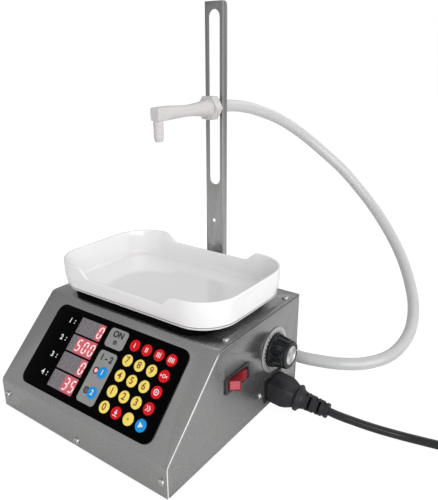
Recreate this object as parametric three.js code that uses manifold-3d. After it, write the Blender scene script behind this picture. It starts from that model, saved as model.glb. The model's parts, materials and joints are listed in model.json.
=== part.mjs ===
// Bench-top filling machine with a peristaltic pump, a weighing tray and a slotted nozzle bar.
// Millimetres, +X to the right of the sloped key panel, +Y to the back, +Z up.
// Every piece is drawn with the middle of the machine's front bottom edge at zero, and the whole
// group is then moved so that the origin is the bottom centre of the machine without its mains lead
// and hose.
import * as THREE from 'three';
import { mergeVertices } from 'three/addons/utils/BufferGeometryUtils.js';
import Module from 'manifold-3d';

const wasm = await Module();
wasm.setup();

// Driving dimensions
const bodyWidth = 188;
const bodyDepth = 184;
const bodyHeight = 88;
const apronHeight = 26;
const slopeAngle = Math.PI / 4;
const sheet = 1.2;
const footHeight = 3;
const barTop = 335.5;
const nozzleZ = 248.7;
const traySideMargin = 4;
const trayEndMargin = 1.5;
const gap = 0.3;
const overrun = 2;

// Places that several pieces share
const bottomZ = footHeight;
const topZ = bottomZ + bodyHeight;
const floorZ = bottomZ + sheet + gap;
const slopeBaseZ = bottomZ + apronHeight;
const slopeRun = (bodyHeight - apronHeight) / Math.tan(slopeAngle);
const slopeLength = (bodyHeight - apronHeight) / Math.sin(slopeAngle);
const sideX = bodyWidth / 2;
const insideX = sideX - sheet;
const rearInsideY = bodyDepth - sheet - gap;
const trayLength = bodyWidth - 2 * traySideMargin;
const trayDepth = bodyDepth - slopeRun - 2 * trayEndMargin;

// Solids

// Joins a geometry's shared corners and drops the triangles that close up to nothing.
function tidy(geometry) {
  const bare = geometry.index ? geometry.toNonIndexed() : geometry.clone();
  for (const name of ['normal', 'uv']) bare.deleteAttribute(name);
  const merged = mergeVertices(bare);
  const index = [...merged.index.array];
  const kept = [];
  for (let i = 0; i < index.length; i += 3) {
    const [a, b, c] = index.slice(i, i + 3);
    if (a !== b && b !== c && c !== a) kept.push(a, b, c);
  }
  merged.setIndex(kept);
  return merged;
}

function toManifold(geometry) {
  const merged = tidy(geometry);
  return new wasm.Manifold(new wasm.Mesh({
    numProp: 3,
    vertProperties: new Float32Array(merged.attributes.position.array),
    triVerts: new Uint32Array(merged.index.array),
  }));
}

function toGeometry(manifold) {
  const mesh = manifold.getMesh();
  const geometry = new THREE.BufferGeometry();
  geometry.setAttribute('position', new THREE.BufferAttribute(mesh.vertProperties, 3));
  geometry.setIndex([...mesh.triVerts]);
  return geometry;
}

function join(...pieces) {
  return toGeometry(pieces.map(toManifold).reduce((whole, piece) => whole.add(piece)));
}

function cut(piece, ...tools) {
  return toGeometry(tools.map(toManifold).reduce((whole, tool) => whole.subtract(tool), toManifold(piece)));
}

// A box between two corners.
function block([x0, y0, z0], [x1, y1, z1]) {
  const box = new THREE.BoxGeometry(x1 - x0, y1 - y0, z1 - z0);
  return box.translate((x0 + x1) / 2, (y0 + y1) / 2, (z0 + z1) / 2);
}

// Turns a solid that was drawn along +Z so that it runs along +X, +Y or -X.
const turned = {
  x: (geometry) => geometry.rotateY(Math.PI / 2),
  y: (geometry) => geometry.rotateX(-Math.PI / 2),
  z: (geometry) => geometry,
};

// A round bar from a point, along an axis. The first corner of its section lies at `start`.
function rod(radius, axis, [x, y, z], length, sides, start = 0) {
  const bar = new THREE.CylinderGeometry(radius, radius, length, sides, 1, false, start);
  bar.rotateX(Math.PI / 2).translate(0, 0, length / 2);
  return turned[axis](bar).translate(x, y, z);
}

// A turned piece: its profile is [radius, distance along the axis] pairs, from the near end on the
// axis to the far end on the axis.
function turning(profile, axis, [x, y, z], sides) {
  const points = profile.map(([radius, along]) => new THREE.Vector2(radius, along));
  const lathe = new THREE.LatheGeometry(points, sides).rotateX(Math.PI / 2);
  return turned[axis](lathe).translate(x, y, z);
}

// A plate cut from sheet: a flat outline pushed along +Z.
function plate(shape, z0, z1) {
  const geometry = new THREE.ExtrudeGeometry(shape, { depth: z1 - z0, bevelEnabled: false, curveSegments: 5 });
  return geometry.translate(0, 0, z0);
}

// A side view's outline, in [y, z] pairs, pushed along +X.
function sideView(outline, x0, x1) {
  const geometry = plate(new THREE.Shape(outline.map(([y, z]) => new THREE.Vector2(y, z))), 0, x1 - x0);
  const basis = new THREE.Matrix4().makeBasis(
    new THREE.Vector3(0, 1, 0), new THREE.Vector3(0, 0, 1), new THREE.Vector3(1, 0, 0));
  return geometry.applyMatrix4(basis).translate(x0, 0, 0);
}

// A front view's outline, in [x, z] pairs, pushed along +Y.
function frontView(outline, y0, y1) {
  const geometry = plate(new THREE.Shape(outline.map(([x, z]) => new THREE.Vector2(x, z))), 0, y1 - y0);
  const basis = new THREE.Matrix4().makeBasis(
    new THREE.Vector3(1, 0, 0), new THREE.Vector3(0, 0, 1), new THREE.Vector3(0, -1, 0));
  return geometry.applyMatrix4(basis).translate(0, y1, 0);
}

function roundedRectangle(x0, y0, x1, y1, radius) {
  const shape = new THREE.Shape();
  const quarter = Math.PI / 2;
  shape.absarc(x1 - radius, y0 + radius, radius, -quarter, 0);
  shape.absarc(x1 - radius, y1 - radius, radius, 0, quarter);
  shape.absarc(x0 + radius, y1 - radius, radius, quarter, 2 * quarter);
  shape.absarc(x0 + radius, y0 + radius, radius, 2 * quarter, 3 * quarter);
  return shape;
}

// Skins rings of points, each ring with as many points as the next, and closes both ends to a middle.
function loft(rings) {
  const count = rings[0].length;
  const position = rings.flat().flatMap((point) => point.toArray());
  const index = [];
  for (let r = 0; r + 1 < rings.length; r += 1) {
    for (let i = 0; i < count; i += 1) {
      const j = (i + 1) % count;
      const [a, b, c, d] = [r * count + i, r * count + j, (r + 1) * count + j, (r + 1) * count + i];
      index.push(a, b, c, a, c, d);
    }
  }
  for (const [r, flip] of [[0, true], [rings.length - 1, false]]) {
    const middle = rings[r].reduce((sum, point) => sum.add(point), new THREE.Vector3());
    const hub = position.length / 3;
    position.push(...middle.divideScalar(count).toArray());
    for (let i = 0; i < count; i += 1) {
      const [a, b] = [r * count + i, r * count + ((i + 1) % count)];
      index.push(hub, ...(flip ? [b, a] : [a, b]));
    }
  }
  const geometry = new THREE.BufferGeometry();
  geometry.setAttribute('position', new THREE.Float32BufferAttribute(position, 3));
  geometry.setIndex(index);
  return geometry;
}

// A regular polygon as a ring of points square to an axis, its first corner towards `start`.
function ring(radius, sides, place, start = 0) {
  const points = [];
  for (let i = 0; i < sides; i += 1) {
    const angle = start + (2 * Math.PI * i) / sides;
    points.push(place(radius * Math.cos(angle), radius * Math.sin(angle)));
  }
  return points;
}

// A tube or a solid cord along a smooth line through points.
function tubeAlong(points, radius, sides, steps, bore = 0, boreSides = 0) {
  const section = new THREE.Shape(ring(radius, sides, (x, y) => new THREE.Vector2(x, y)));
  if (bore > 0) {
    section.holes.push(new THREE.Path(ring(bore, boreSides, (x, y) => new THREE.Vector2(x, y)).reverse()));
  }
  const line = new THREE.CatmullRomCurve3(points.map((point) => new THREE.Vector3(...point)));
  return new THREE.ExtrudeGeometry(section, { steps, extrudePath: line });
}

const colours = {
  steel: { color: 0x8b8d8b, metalness: 0.6, roughness: 0.45 },
  bright: { color: 0xc9cac8, metalness: 0.9, roughness: 0.25 },
  aluminium: { color: 0xb5b8ba, metalness: 0.8, roughness: 0.4 },
  black: { color: 0x1c1d1f, metalness: 0, roughness: 0.5 },
  rubber: { color: 0x222324, metalness: 0, roughness: 0.8 },
  white: { color: 0xf1f1ef, metalness: 0, roughness: 0.2 },
  nylon: { color: 0xd8d4d2, metalness: 0, roughness: 0.45 },
  silicone: { color: 0xbcc5c1, metalness: 0, roughness: 0.3 },
  film: { color: 0x0d0e10, metalness: 0, roughness: 0.25 },
  board: { color: 0x2f6b43, metalness: 0, roughness: 0.5 },
  grey: { color: 0x9a9c9b, metalness: 0, roughness: 0.5 },
  red: { color: 0xc4202a, metalness: 0, roughness: 0.3 },
  yellow: { color: 0xf2d233, metalness: 0, roughness: 0.35 },
  blue: { color: 0x1e82c8, metalness: 0, roughness: 0.35 },
  cord: { color: 0x26282b, metalness: 0, roughness: 0.55 },
};

const group = new THREE.Group();
const panel = new THREE.Group();
panel.position.set(0, 0, slopeBaseZ);
panel.rotation.x = slopeAngle;
panel.updateMatrix();
group.add(panel);

function add(name, geometry, colour, holder = group) {
  const solid = tidy(geometry);
  solid.computeVertexNormals();
  const mesh = new THREE.Mesh(solid, new THREE.MeshStandardMaterial(colours[colour]));
  mesh.name = name;
  holder.add(mesh);
  return mesh;
}

// Moves a tool that was drawn on the sloped panel, with X across, Y up the slope and Z out of it.
const onPanel = (geometry) => geometry.applyMatrix4(panel.matrix);

// The folded line of apron, slope and top, set inwards by a distance, as [y, z] pairs.
function foldLine(inset, backY) {
  const rise = inset / Math.cos(slopeAngle);
  return [
    [inset, bottomZ],
    [inset, slopeBaseZ + inset * Math.tan(slopeAngle) - rise],
    [slopeRun + (rise - inset) / Math.tan(slopeAngle), topZ - inset],
    [backY, topZ - inset],
  ];
}

// Weighing platform: the load cell under the top, the black support and the tray on it
const cellLength = 80;
const cellSize = 12.7;
const platformY = slopeRun + (bodyDepth - slopeRun) * 0.455;
const cellTopZ = topZ - 4.3;
const supportBossRadius = 9;
const supportBossX = -cellLength / 2 + supportBossRadius + gap;
const bossHoleClearance = 3;
const cellStandWidth = 20;

// Sloped panel: its overlay, windows and keys, as distances across and up the slope. The windows and
// keys keep their places in the overlay's layout: across as shares of its half width, up as shares of
// its height.
const overlay = { halfWidth: 73.3, low: 6.6, topMargin: 8.08, corner: 8, thickness: 0.8 };
const overlayHigh = slopeLength - overlay.topMargin;
const panelHeight = overlayHigh - overlay.low;
const displayShares = { left: -0.5907, width: 0.412, height: 0.1986, pitch: 0.2158, lowest: 0.0822 };
const keyGridShares = { left: 0.3042, low: 0.1493, pitchX: 0.1715, pitchY: 0.174 };
const modeKeyShares = { x: 0.0696, low: 0.2192, pitchY: 0.2274 };
const keyShares = { radius: 0.3818, flange: 0.4455 };
const display = {
  left: displayShares.left * overlay.halfWidth, width: displayShares.width * overlay.halfWidth,
  height: displayShares.height * panelHeight, pitch: displayShares.pitch * panelHeight,
  lowest: overlay.low + displayShares.lowest * panelHeight, count: 4, depth: 6.9, behind: 0.5, margin: 1.2,
};
const keyGrid = {
  left: keyGridShares.left * overlay.halfWidth, low: overlay.low + keyGridShares.low * panelHeight,
  pitchX: keyGridShares.pitchX * overlay.halfWidth, pitchY: keyGridShares.pitchY * panelHeight,
  columns: 4, rows: 5,
};
const modeKeys = {
  x: modeKeyShares.x * overlay.halfWidth, low: overlay.low + modeKeyShares.low * panelHeight,
  pitchY: modeKeyShares.pitchY * panelHeight, names: ['key_auto', 'key_manual'],
};
const keyPitch = Math.min(keyGrid.pitchX, keyGrid.pitchY);
const key = {
  radius: keyShares.radius * keyPitch, flange: keyShares.flange * keyPitch, flangeThickness: 1.2,
  standsOut: 0.5, clearance: 0.3, sides: 10, travel: 0.45, switchGap: 0.75,
};
const keypadMargin = 8;
const modeMargin = 9;

// Controls and sockets on the right side, as distances from the front and from the floor
const knobPlace = { y: bodyDepth - 43, z: 54.8 };
const switchPlace = { y: bodyDepth - 99.8, z: 56.3 };
const inletPlace = { y: bodyDepth - 43.8, z: 19.6 };
const outletPlace = { y: bodyDepth - 14.5, z: 37.7 };

// Cover: apron, slope and top folded from one sheet
{
  const screwHole = 1.7;
  const screwSides = 8;
  const topScrewX = sideX - 6;
  const topScrewYs = [slopeRun + 15.5, bodyDepth - 14.7];
  const apronScrewX = sideX - 5.5;
  const apronScrewZ = bottomZ + 12.3;
  const middleScrewZ = bottomZ + 5;
  const outline = [...foldLine(0, bodyDepth), ...foldLine(sheet, bodyDepth).reverse()];
  const displayTop = display.lowest + (display.count - 1) * display.pitch + display.height;
  const keyRight = keyGrid.left + (keyGrid.columns - 1) * keyGrid.pitchX;
  const keyTop = keyGrid.low + (keyGrid.rows - 1) * keyGrid.pitchY;
  const through = sheet + overrun;
  const tools = [
    rod(supportBossRadius + bossHoleClearance, 'z', [supportBossX, platformY, topZ - through],
      through + overrun, 20),
    onPanel(block([display.left - display.margin, display.lowest - display.margin, -through],
      [display.left + display.width + display.margin, displayTop + display.margin, overrun])),
    onPanel(block([modeKeys.x - modeMargin, keyGrid.low - keypadMargin, -through],
      [keyRight + keypadMargin, keyTop + keypadMargin, overrun])),
  ];
  for (const side of [-1, 1]) {
    for (const y of topScrewYs) {
      tools.push(rod(screwHole, 'z', [side * topScrewX, y, topZ - through], through + overrun, screwSides));
    }
    tools.push(rod(screwHole, 'y', [side * apronScrewX, -overrun, apronScrewZ], through + overrun, screwSides));
  }
  tools.push(rod(screwHole, 'y', [0, -overrun, middleScrewZ], through + overrun, screwSides));
  add('cover', cut(sideView(outline, -sideX, sideX), ...tools), 'steel');
}

// The mains lead leaves its connector along the connector's own line
const cordRadius = 3.5;
const cordStart = [];

// Chassis: floor, two sides and their folded flanges, with the load cell's stand welded to the floor
{
  const flange = 11;
  const frontFlange = 18;
  const potHole = 3.9;
  const outletHole = 5.2;
  const switchCut = { halfLength: 14.4, halfHeight: 6.5 };
  const inletCut = { halfLength: 13.8, halfHeight: 11.3 };
  const edge = sheet + gap;
  const frontY = edge;
  const sideOutline = [...foldLine(edge, rearInsideY), [rearInsideY, bottomZ]];
  const underTop = topZ - edge;
  const flangeStartY = slopeRun + flange / 2;
  const pieces = [
    block([-sideX, frontY, bottomZ], [sideX, rearInsideY, bottomZ + sheet]),
    block([-sideX, frontY, bottomZ], [sideX, frontY + sheet, bottomZ + frontFlange]),
  ];
  for (const side of [-1, 1]) {
    const [out, back] = [side * sideX, side * insideX];
    const fold = side * (sideX - flange);
    pieces.push(sideView(sideOutline, Math.min(out, back), Math.max(out, back)));
    pieces.push(block([Math.min(out, fold), flangeStartY, underTop - sheet],
      [Math.max(out, fold), rearInsideY, underTop]));
    pieces.push(block([Math.min(out, fold), rearInsideY - sheet, bottomZ],
      [Math.max(out, fold), rearInsideY, underTop]));
  }
  const standX = cellLength / 2;
  pieces.push(block([standX - cellStandWidth, platformY - cellSize / 2, bottomZ],
    [standX, platformY + cellSize / 2, cellTopZ - cellSize - gap]));
  const wallStart = insideX - overrun;
  const wallThrough = sheet + 2 * overrun;
  const tools = [
    rod(potHole, 'x', [wallStart, knobPlace.y, knobPlace.z], wallThrough, 12),
    rod(outletHole, 'x', [wallStart, outletPlace.y, outletPlace.z], wallThrough, 12),
    block([wallStart, switchPlace.y - switchCut.halfLength, switchPlace.z - switchCut.halfHeight],
      [sideX + overrun, switchPlace.y + switchCut.halfLength, switchPlace.z + switchCut.halfHeight]),
    block([wallStart, inletPlace.y - inletCut.halfLength, inletPlace.z - inletCut.halfHeight],
      [sideX + overrun, inletPlace.y + inletCut.halfLength, inletPlace.z + inletCut.halfHeight]),
  ];
  add('chassis', cut(join(...pieces), ...tools), 'steel');

  // Switch: a snap-in housing with a black bezel, and the red rocker in it
  const bezel = { halfLength: 16.5, halfHeight: 7.2, thickness: 0.9, depth: 24, endWall: 0.9, sideWall: 1.5 };
  const body = { halfLength: switchCut.halfLength - gap, halfHeight: switchCut.halfHeight - gap };
  const pocket = {
    halfLength: body.halfLength - bezel.endWall, halfHeight: body.halfHeight - bezel.sideWall, depth: 9,
  };
  const faceX = sideX + gap;
  const frontX = faceX + bezel.thickness;
  add('switch_housing', cut(
    join(
      block([faceX, switchPlace.y - bezel.halfLength, switchPlace.z - bezel.halfHeight],
        [frontX, switchPlace.y + bezel.halfLength, switchPlace.z + bezel.halfHeight]),
      block([faceX - bezel.depth, switchPlace.y - body.halfLength, switchPlace.z - body.halfHeight],
        [frontX, switchPlace.y + body.halfLength, switchPlace.z + body.halfHeight])),
    block([frontX - pocket.depth, switchPlace.y - pocket.halfLength, switchPlace.z - pocket.halfHeight],
      [frontX + overrun, switchPlace.y + pocket.halfLength, switchPlace.z + pocket.halfHeight])), 'black');

  const rocker = {
    halfLength: pocket.halfLength - 4 * gap, halfHeight: pocket.halfHeight - gap, tilt: 0.3,
    tipHalfLength: 8.2, rise: 5.4, dip: 1.4, depth: 3.4, inset: 0.4,
  };
  const pivotX = frontX - rocker.inset;
  const outline = new THREE.Shape([
    [-rocker.halfLength, -rocker.depth], [rocker.halfLength, -rocker.depth],
    [rocker.tipHalfLength, rocker.rise], [0, rocker.dip], [-rocker.tipHalfLength, rocker.rise],
  ].map(([along, out]) => new THREE.Vector2(along, out)));
  const rockerBody = plate(outline, -rocker.halfHeight, rocker.halfHeight);
  rockerBody.applyMatrix4(new THREE.Matrix4().makeBasis(
    new THREE.Vector3(0, -1, 0), new THREE.Vector3(1, 0, 0), new THREE.Vector3(0, 0, 1)));
  rockerBody.rotateZ(rocker.tilt).translate(pivotX, switchPlace.y, switchPlace.z);
  add('switch_rocker', rockerBody, 'red');

  // Mains inlet: a socket body through the side, its flange behind the sheet, three blades inside
  const inlet = {
    halfLength: inletCut.halfLength - gap, halfHeight: inletCut.halfHeight - gap, standsOut: 1.2,
    depth: 24, flangeHalfLength: 25, flangeHalfHeight: 12, flange: 2, recess: 15.5,
  };
  const nose = { halfLength: 11.8, halfHeight: 8, length: 14.5 };
  const blade = { halfWidth: 1, halfHeight: 2, length: 13, spread: 7, drop: 2.6, clearance: 0.4 };
  const bladePlaces = [[-blade.spread, -blade.drop], [blade.spread, -blade.drop], [0, blade.drop]];
  const inletFront = sideX + inlet.standsOut;
  const recessX = inletFront - inlet.recess;
  const bladeBlock = ([dy, dz], grow) => block(
    [recessX - gap, inletPlace.y + dy - blade.halfWidth - grow, inletPlace.z + dz - blade.halfHeight - grow],
    [recessX + blade.length + 2 * grow, inletPlace.y + dy + blade.halfWidth + grow,
      inletPlace.z + dz + blade.halfHeight + grow]);
  const inletBody = cut(
    join(
      block([inletFront - inlet.depth, inletPlace.y - inlet.halfLength, inletPlace.z - inlet.halfHeight],
        [inletFront, inletPlace.y + inlet.halfLength, inletPlace.z + inlet.halfHeight]),
      block([insideX - gap - inlet.flange, inletPlace.y - inlet.flangeHalfLength,
        inletPlace.z - inlet.flangeHalfHeight],
      [insideX - gap, inletPlace.y + inlet.flangeHalfLength, inletPlace.z + inlet.flangeHalfHeight])),
    block([recessX, inletPlace.y - nose.halfLength - gap, inletPlace.z - nose.halfHeight - gap],
      [inletFront + overrun, inletPlace.y + nose.halfLength + gap, inletPlace.z + nose.halfHeight + gap]));
  add('mains_inlet', join(inletBody, ...bladePlaces.map((place) => bladeBlock(place, 0))), 'black');

  // Connector on the mains lead: a nose in the inlet, a flared grip, a ring and a ribbed strain relief
  const grip = {
    length: 24.5, front: [13.2, 10.2], middle: [13.3, 10.4], back: [8.5, 8], middleShare: 0.55, sag: 2.2,
  };
  const relief = {
    ringRadius: 11.3, ring: 3.2, neck: 6.4, taper: 7.5, tip: 7.1, ribs: 3, rib: 3.7, groove: 2.4, core: 4.8,
    slim: 0.5, yaw: 0.092, drop: 0.14,
  };
  const gripX = inletFront + gap;
  const gripRing = (share, [halfLength, halfHeight], round) => ring(1, 16, (u, v) => {
    const square = Math.max(Math.abs(u), Math.abs(v));
    const reach = round + (1 - round) / square;
    return new THREE.Vector3(gripX + share * grip.length, inletPlace.y + u * reach * halfLength,
      inletPlace.z - share * grip.sag + v * reach * halfHeight);
  }, Math.PI / 16);
  const gripBody = loft([gripRing(0, grip.front, 0.25), gripRing(grip.middleShare, grip.middle, 0.3),
    gripRing(1, grip.back, 0.8)]);
  const reliefX = gripX + grip.length - relief.ring / 2;
  const reliefProfile = [[0, 0], [relief.ringRadius, 0], [relief.ringRadius, relief.ring],
    [relief.neck, relief.ring + relief.taper]];
  let along = relief.ring + relief.taper;
  for (let i = 0; i < relief.ribs; i += 1) {
    reliefProfile.push([relief.core, along], [relief.core, along + relief.groove]);
    along += relief.groove;
    reliefProfile.push([relief.tip - i * relief.slim, along], [relief.tip - i * relief.slim, along + relief.rib]);
    along += relief.rib;
  }
  reliefProfile.push([0, along]);
  const hang = new THREE.Matrix4().makeRotationZ(relief.yaw)
    .multiply(new THREE.Matrix4().makeRotationY(relief.drop));
  const reliefBody = turning(reliefProfile, 'x', [0, 0, 0], 12).applyMatrix4(hang);
  reliefBody.translate(reliefX, inletPlace.y, inletPlace.z - grip.sag);
  const hangLine = new THREE.Vector3(1, 0, 0).applyMatrix4(hang);
  for (const past of [gap, 2 * cordRadius]) {
    const point = hangLine.clone().multiplyScalar(along + past);
    cordStart.push([reliefX + point.x, inletPlace.y + point.y, inletPlace.z - grip.sag + point.z]);
  }
  const noseBlock = cut(
    block([recessX + 2 * gap, inletPlace.y - nose.halfLength, inletPlace.z - nose.halfHeight],
      [gripX + overrun, inletPlace.y + nose.halfLength, inletPlace.z + nose.halfHeight]),
    ...bladePlaces.map((place) => bladeBlock(place, blade.clearance)));
  add('cord_connector', join(gripBody, noseBlock, reliefBody), 'cord');
}

// Rear panel, with vent slots over the power supply
{
  const slots = { count: 6, width: 3, height: 26, pitch: 9, x: -sideX + 26, z: bottomZ + 34 };
  const inletHole = 5.2;
  const tools = [];
  for (let i = 0; i < slots.count; i += 1) {
    const x = slots.x + i * slots.pitch;
    tools.push(block([x, bodyDepth - sheet - overrun, slots.z],
      [x + slots.width, bodyDepth + overrun, slots.z + slots.height]));
  }
  tools.push(rod(inletHole, 'y', [sideX / 2, bodyDepth - sheet - overrun, bottomZ + 27],
    sheet + 2 * overrun, 12));
  add('rear_panel', cut(
    block([-sideX, bodyDepth - sheet, bottomZ], [sideX, bodyDepth, topZ - sheet - gap]), ...tools), 'steel');
}

// Four rubber feet under the floor
{
  const foot = { radius: 8, waist: 7, inset: 18, sides: 16 };
  const names = { '-1,-1': 'foot_front_left', '1,-1': 'foot_front_right', '-1,1': 'foot_rear_left', '1,1': 'foot_rear_right' };
  for (const [place, name] of Object.entries(names)) {
    const [across, back] = place.split(',').map(Number);
    const x = across * (sideX - foot.inset);
    const y = bodyDepth / 2 + back * (bodyDepth / 2 - foot.inset);
    add(name, turning([[0, 0], [foot.waist, 0], [foot.radius, bottomZ - gap], [0, bottomZ - gap]],
      'z', [x, y, 0], foot.sides), 'rubber');
  }
}

// Load cell, tray support and tray
{
  const holeRadius = 5.4;
  const holeSpread = 7.5;
  const cell = block([-cellLength / 2, platformY - cellSize / 2, cellTopZ - cellSize],
    [cellLength / 2, platformY + cellSize / 2, cellTopZ]);
  const bore = (x) => rod(holeRadius, 'y', [x, platformY - cellSize / 2 - overrun, cellTopZ - cellSize / 2],
    cellSize + 2 * overrun, 12);
  add('load_cell', cut(cell, bore(-holeSpread), bore(holeSpread)), 'aluminium');

  const trayFloorZ = topZ + 6;
  const support = {
    halfLength: trayLength / 2 - 15, halfDepth: trayDepth / 2 - 4.5, corner: 21, thickness: 4.5,
  };
  const plateTop = trayFloorZ - gap;
  add('tray_support', join(
    plate(roundedRectangle(-support.halfLength, platformY - support.halfDepth, support.halfLength,
      platformY + support.halfDepth, support.corner), plateTop - support.thickness, plateTop),
    rod(supportBossRadius, 'z', [supportBossX, platformY, cellTopZ + gap],
      plateTop - support.thickness / 2 - cellTopZ - gap, 20)), 'black');

  // The tray: one moulding with high end walls and low walls at the front and back
  const tray = {
    corner: 33, bow: 1.2, highRim: 26.5, lowRim: 18, floor: 2.6, wall: 2.4, draft: 2.6, foot: 5,
    waist: 12, lowHalf: 40, highHalf: 53.5,
  };
  const straightX = trayLength / 2 - tray.corner;
  const straightY = trayDepth / 2 - tray.corner;
  const stops = [-1, -tray.highHalf / straightX, -0.5 * (tray.lowHalf + tray.highHalf) / straightX,
    -tray.lowHalf / straightX, 0];
  const sideShares = [...stops, ...stops.slice(0, -1).map((share) => -share).reverse()];
  const cornerSteps = 5;
  const outline = [];
  const pushCorner = (sx, sy, start) => {
    for (let i = 1; i < cornerSteps; i += 1) {
      const angle = start + (i / cornerSteps) * (Math.PI / 2);
      outline.push([sx * straightX, sy * straightY, Math.cos(angle), Math.sin(angle)]);
    }
  };
  for (const share of sideShares) outline.push([share * straightX, -straightY, 0, -1]);
  pushCorner(1, -1, -Math.PI / 2);
  for (const share of [-1, 0, 1]) outline.push([straightX, share * straightY, 1, 0]);
  pushCorner(1, 1, 0);
  for (const share of [...sideShares].reverse()) outline.push([share * straightX, straightY, 0, 1]);
  pushCorner(-1, 1, Math.PI / 2);
  for (const share of [1, 0, -1]) outline.push([-straightX, share * straightY, -1, 0]);
  pushCorner(-1, -1, Math.PI);
  const rimHeight = (x) => {
    const t = THREE.MathUtils.smoothstep(Math.abs(x), tray.lowHalf, tray.highHalf);
    return tray.lowRim + t * (tray.highRim - tray.lowRim);
  };
  const trayRing = (inset, height) => outline.map(([x, y, nx, ny]) => {
    const bulge = tray.bow * (1 - (y / (trayDepth / 2)) ** 2) * Math.abs(nx);
    const reach = tray.corner - inset + bulge;
    return new THREE.Vector3(x + nx * reach, platformY + y + ny * reach, trayFloorZ + height(x));
  });
  const level = (height) => () => height;
  const heelRing = (angle) => trayRing(
    tray.draft + tray.foot * (1 - Math.cos(angle)), level(tray.foot * (1 - Math.sin(angle))));
  add('tray', loft([
    heelRing(Math.PI / 2),
    heelRing(Math.PI / 3),
    heelRing(Math.PI / 6),
    heelRing(0),
    trayRing(tray.draft / 4, level(tray.waist)),
    trayRing(0, rimHeight),
    trayRing(tray.wall, rimHeight),
    trayRing(tray.draft / 4 + tray.wall, level(tray.waist)),
    trayRing(tray.draft + tray.wall, level(tray.foot + tray.floor)),
    trayRing(tray.draft + tray.wall + tray.foot, level(tray.floor)),
  ]), 'white');
}

// Sloped panel: overlay film, keys and the display board behind
{
  const displayBottoms = [];
  for (let i = 0; i < display.count; i += 1) displayBottoms.push(display.lowest + i * display.pitch);
  const keys = [];
  for (let row = 0; row < keyGrid.rows; row += 1) {
    for (let column = 0; column < keyGrid.columns; column += 1) {
      keys.push([keyGrid.left + column * keyGrid.pitchX, keyGrid.low + row * keyGrid.pitchY]);
    }
  }
  const keyNames = [
    'key_zero', 'key_save', 'key_point', 'key_run',
    'key_one', 'key_two', 'key_three', 'key_trigger',
    'key_four', 'key_five', 'key_six', 'key_set',
    'key_seven', 'key_eight', 'key_nine', 'key_tare',
    'key_memory_one', 'key_memory_two', 'key_memory_three', 'key_memory_four',
    ...modeKeys.names,
  ];
  for (let i = 0; i < modeKeys.names.length; i += 1) keys.push([modeKeys.x, modeKeys.low + i * modeKeys.pitchY]);
  const keyColour = (name) => {
    if (['key_run', ...modeKeys.names].includes(name)) return 'blue';
    return /save|trigger|set|tare|memory/.test(name) ? 'red' : 'yellow';
  };

  const film = roundedRectangle(-overlay.halfWidth, overlay.low, overlay.halfWidth, overlayHigh, overlay.corner);
  const holeRadius = key.radius + key.clearance;
  for (const [x, y] of keys) {
    film.holes.push(new THREE.Path(
      ring(holeRadius, key.sides, (u, v) => new THREE.Vector2(x + u, y + v)).reverse()));
  }
  for (const low of displayBottoms) {
    const [right, high] = [display.left + display.width, low + display.height];
    film.holes.push(new THREE.Path([[display.left, low], [display.left, high], [right, high], [right, low]]
      .map(([x, y]) => new THREE.Vector2(x, y))));
  }
  add('panel_overlay', plate(film, gap, gap + overlay.thickness), 'film', panel);

  const filmTop = gap + overlay.thickness;
  keys.forEach(([x, y], i) => {
    const low = gap - key.clearance - key.flangeThickness;
    add(keyNames[i], turning([[0, low], [key.flange, low], [key.flange, low + key.flangeThickness],
      [key.radius, low + key.flangeThickness], [key.radius, filmTop + key.standsOut],
      [0, filmTop + key.standsOut]], 'z', [x, y, 0], key.sides), keyColour(keyNames[i]), panel);
  });

  const board = { thickness: 1.6, marginX: 4, marginY: 3.5, standoff: 2.6 };
  const boardTop = -display.behind - display.depth;
  const switchTop = gap - key.clearance - key.flangeThickness - key.switchGap;
  const tactHalf = 3;
  const [boardLeft, boardRight] = [-overlay.halfWidth + board.marginX, overlay.halfWidth - board.marginX];
  const [boardLow, boardHigh] = [overlay.low + board.marginY, overlayHigh - board.marginY];
  const pieces = [block([boardLeft, boardLow, boardTop - board.thickness], [boardRight, boardHigh, boardTop])];
  for (const low of displayBottoms) {
    pieces.push(block([display.left + gap, low + gap, boardTop - board.thickness / 2],
      [display.left + display.width - gap, low + display.height - gap, -display.behind]));
  }
  for (const [x, y] of keys) {
    pieces.push(block([x - tactHalf, y - tactHalf, boardTop - board.thickness / 2],
      [x + tactHalf, y + tactHalf, switchTop]));
  }
  for (const x of [boardLeft + board.standoff, boardRight - board.standoff]) {
    for (const y of [boardLow + board.standoff, boardHigh - board.standoff]) {
      pieces.push(rod(board.standoff, 'z', [x, y, boardTop - board.thickness / 2],
        -sheet - gap - boardTop + board.thickness / 2, 8));
    }
  }
  add('display_board', join(...pieces), 'board', panel);
}

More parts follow.
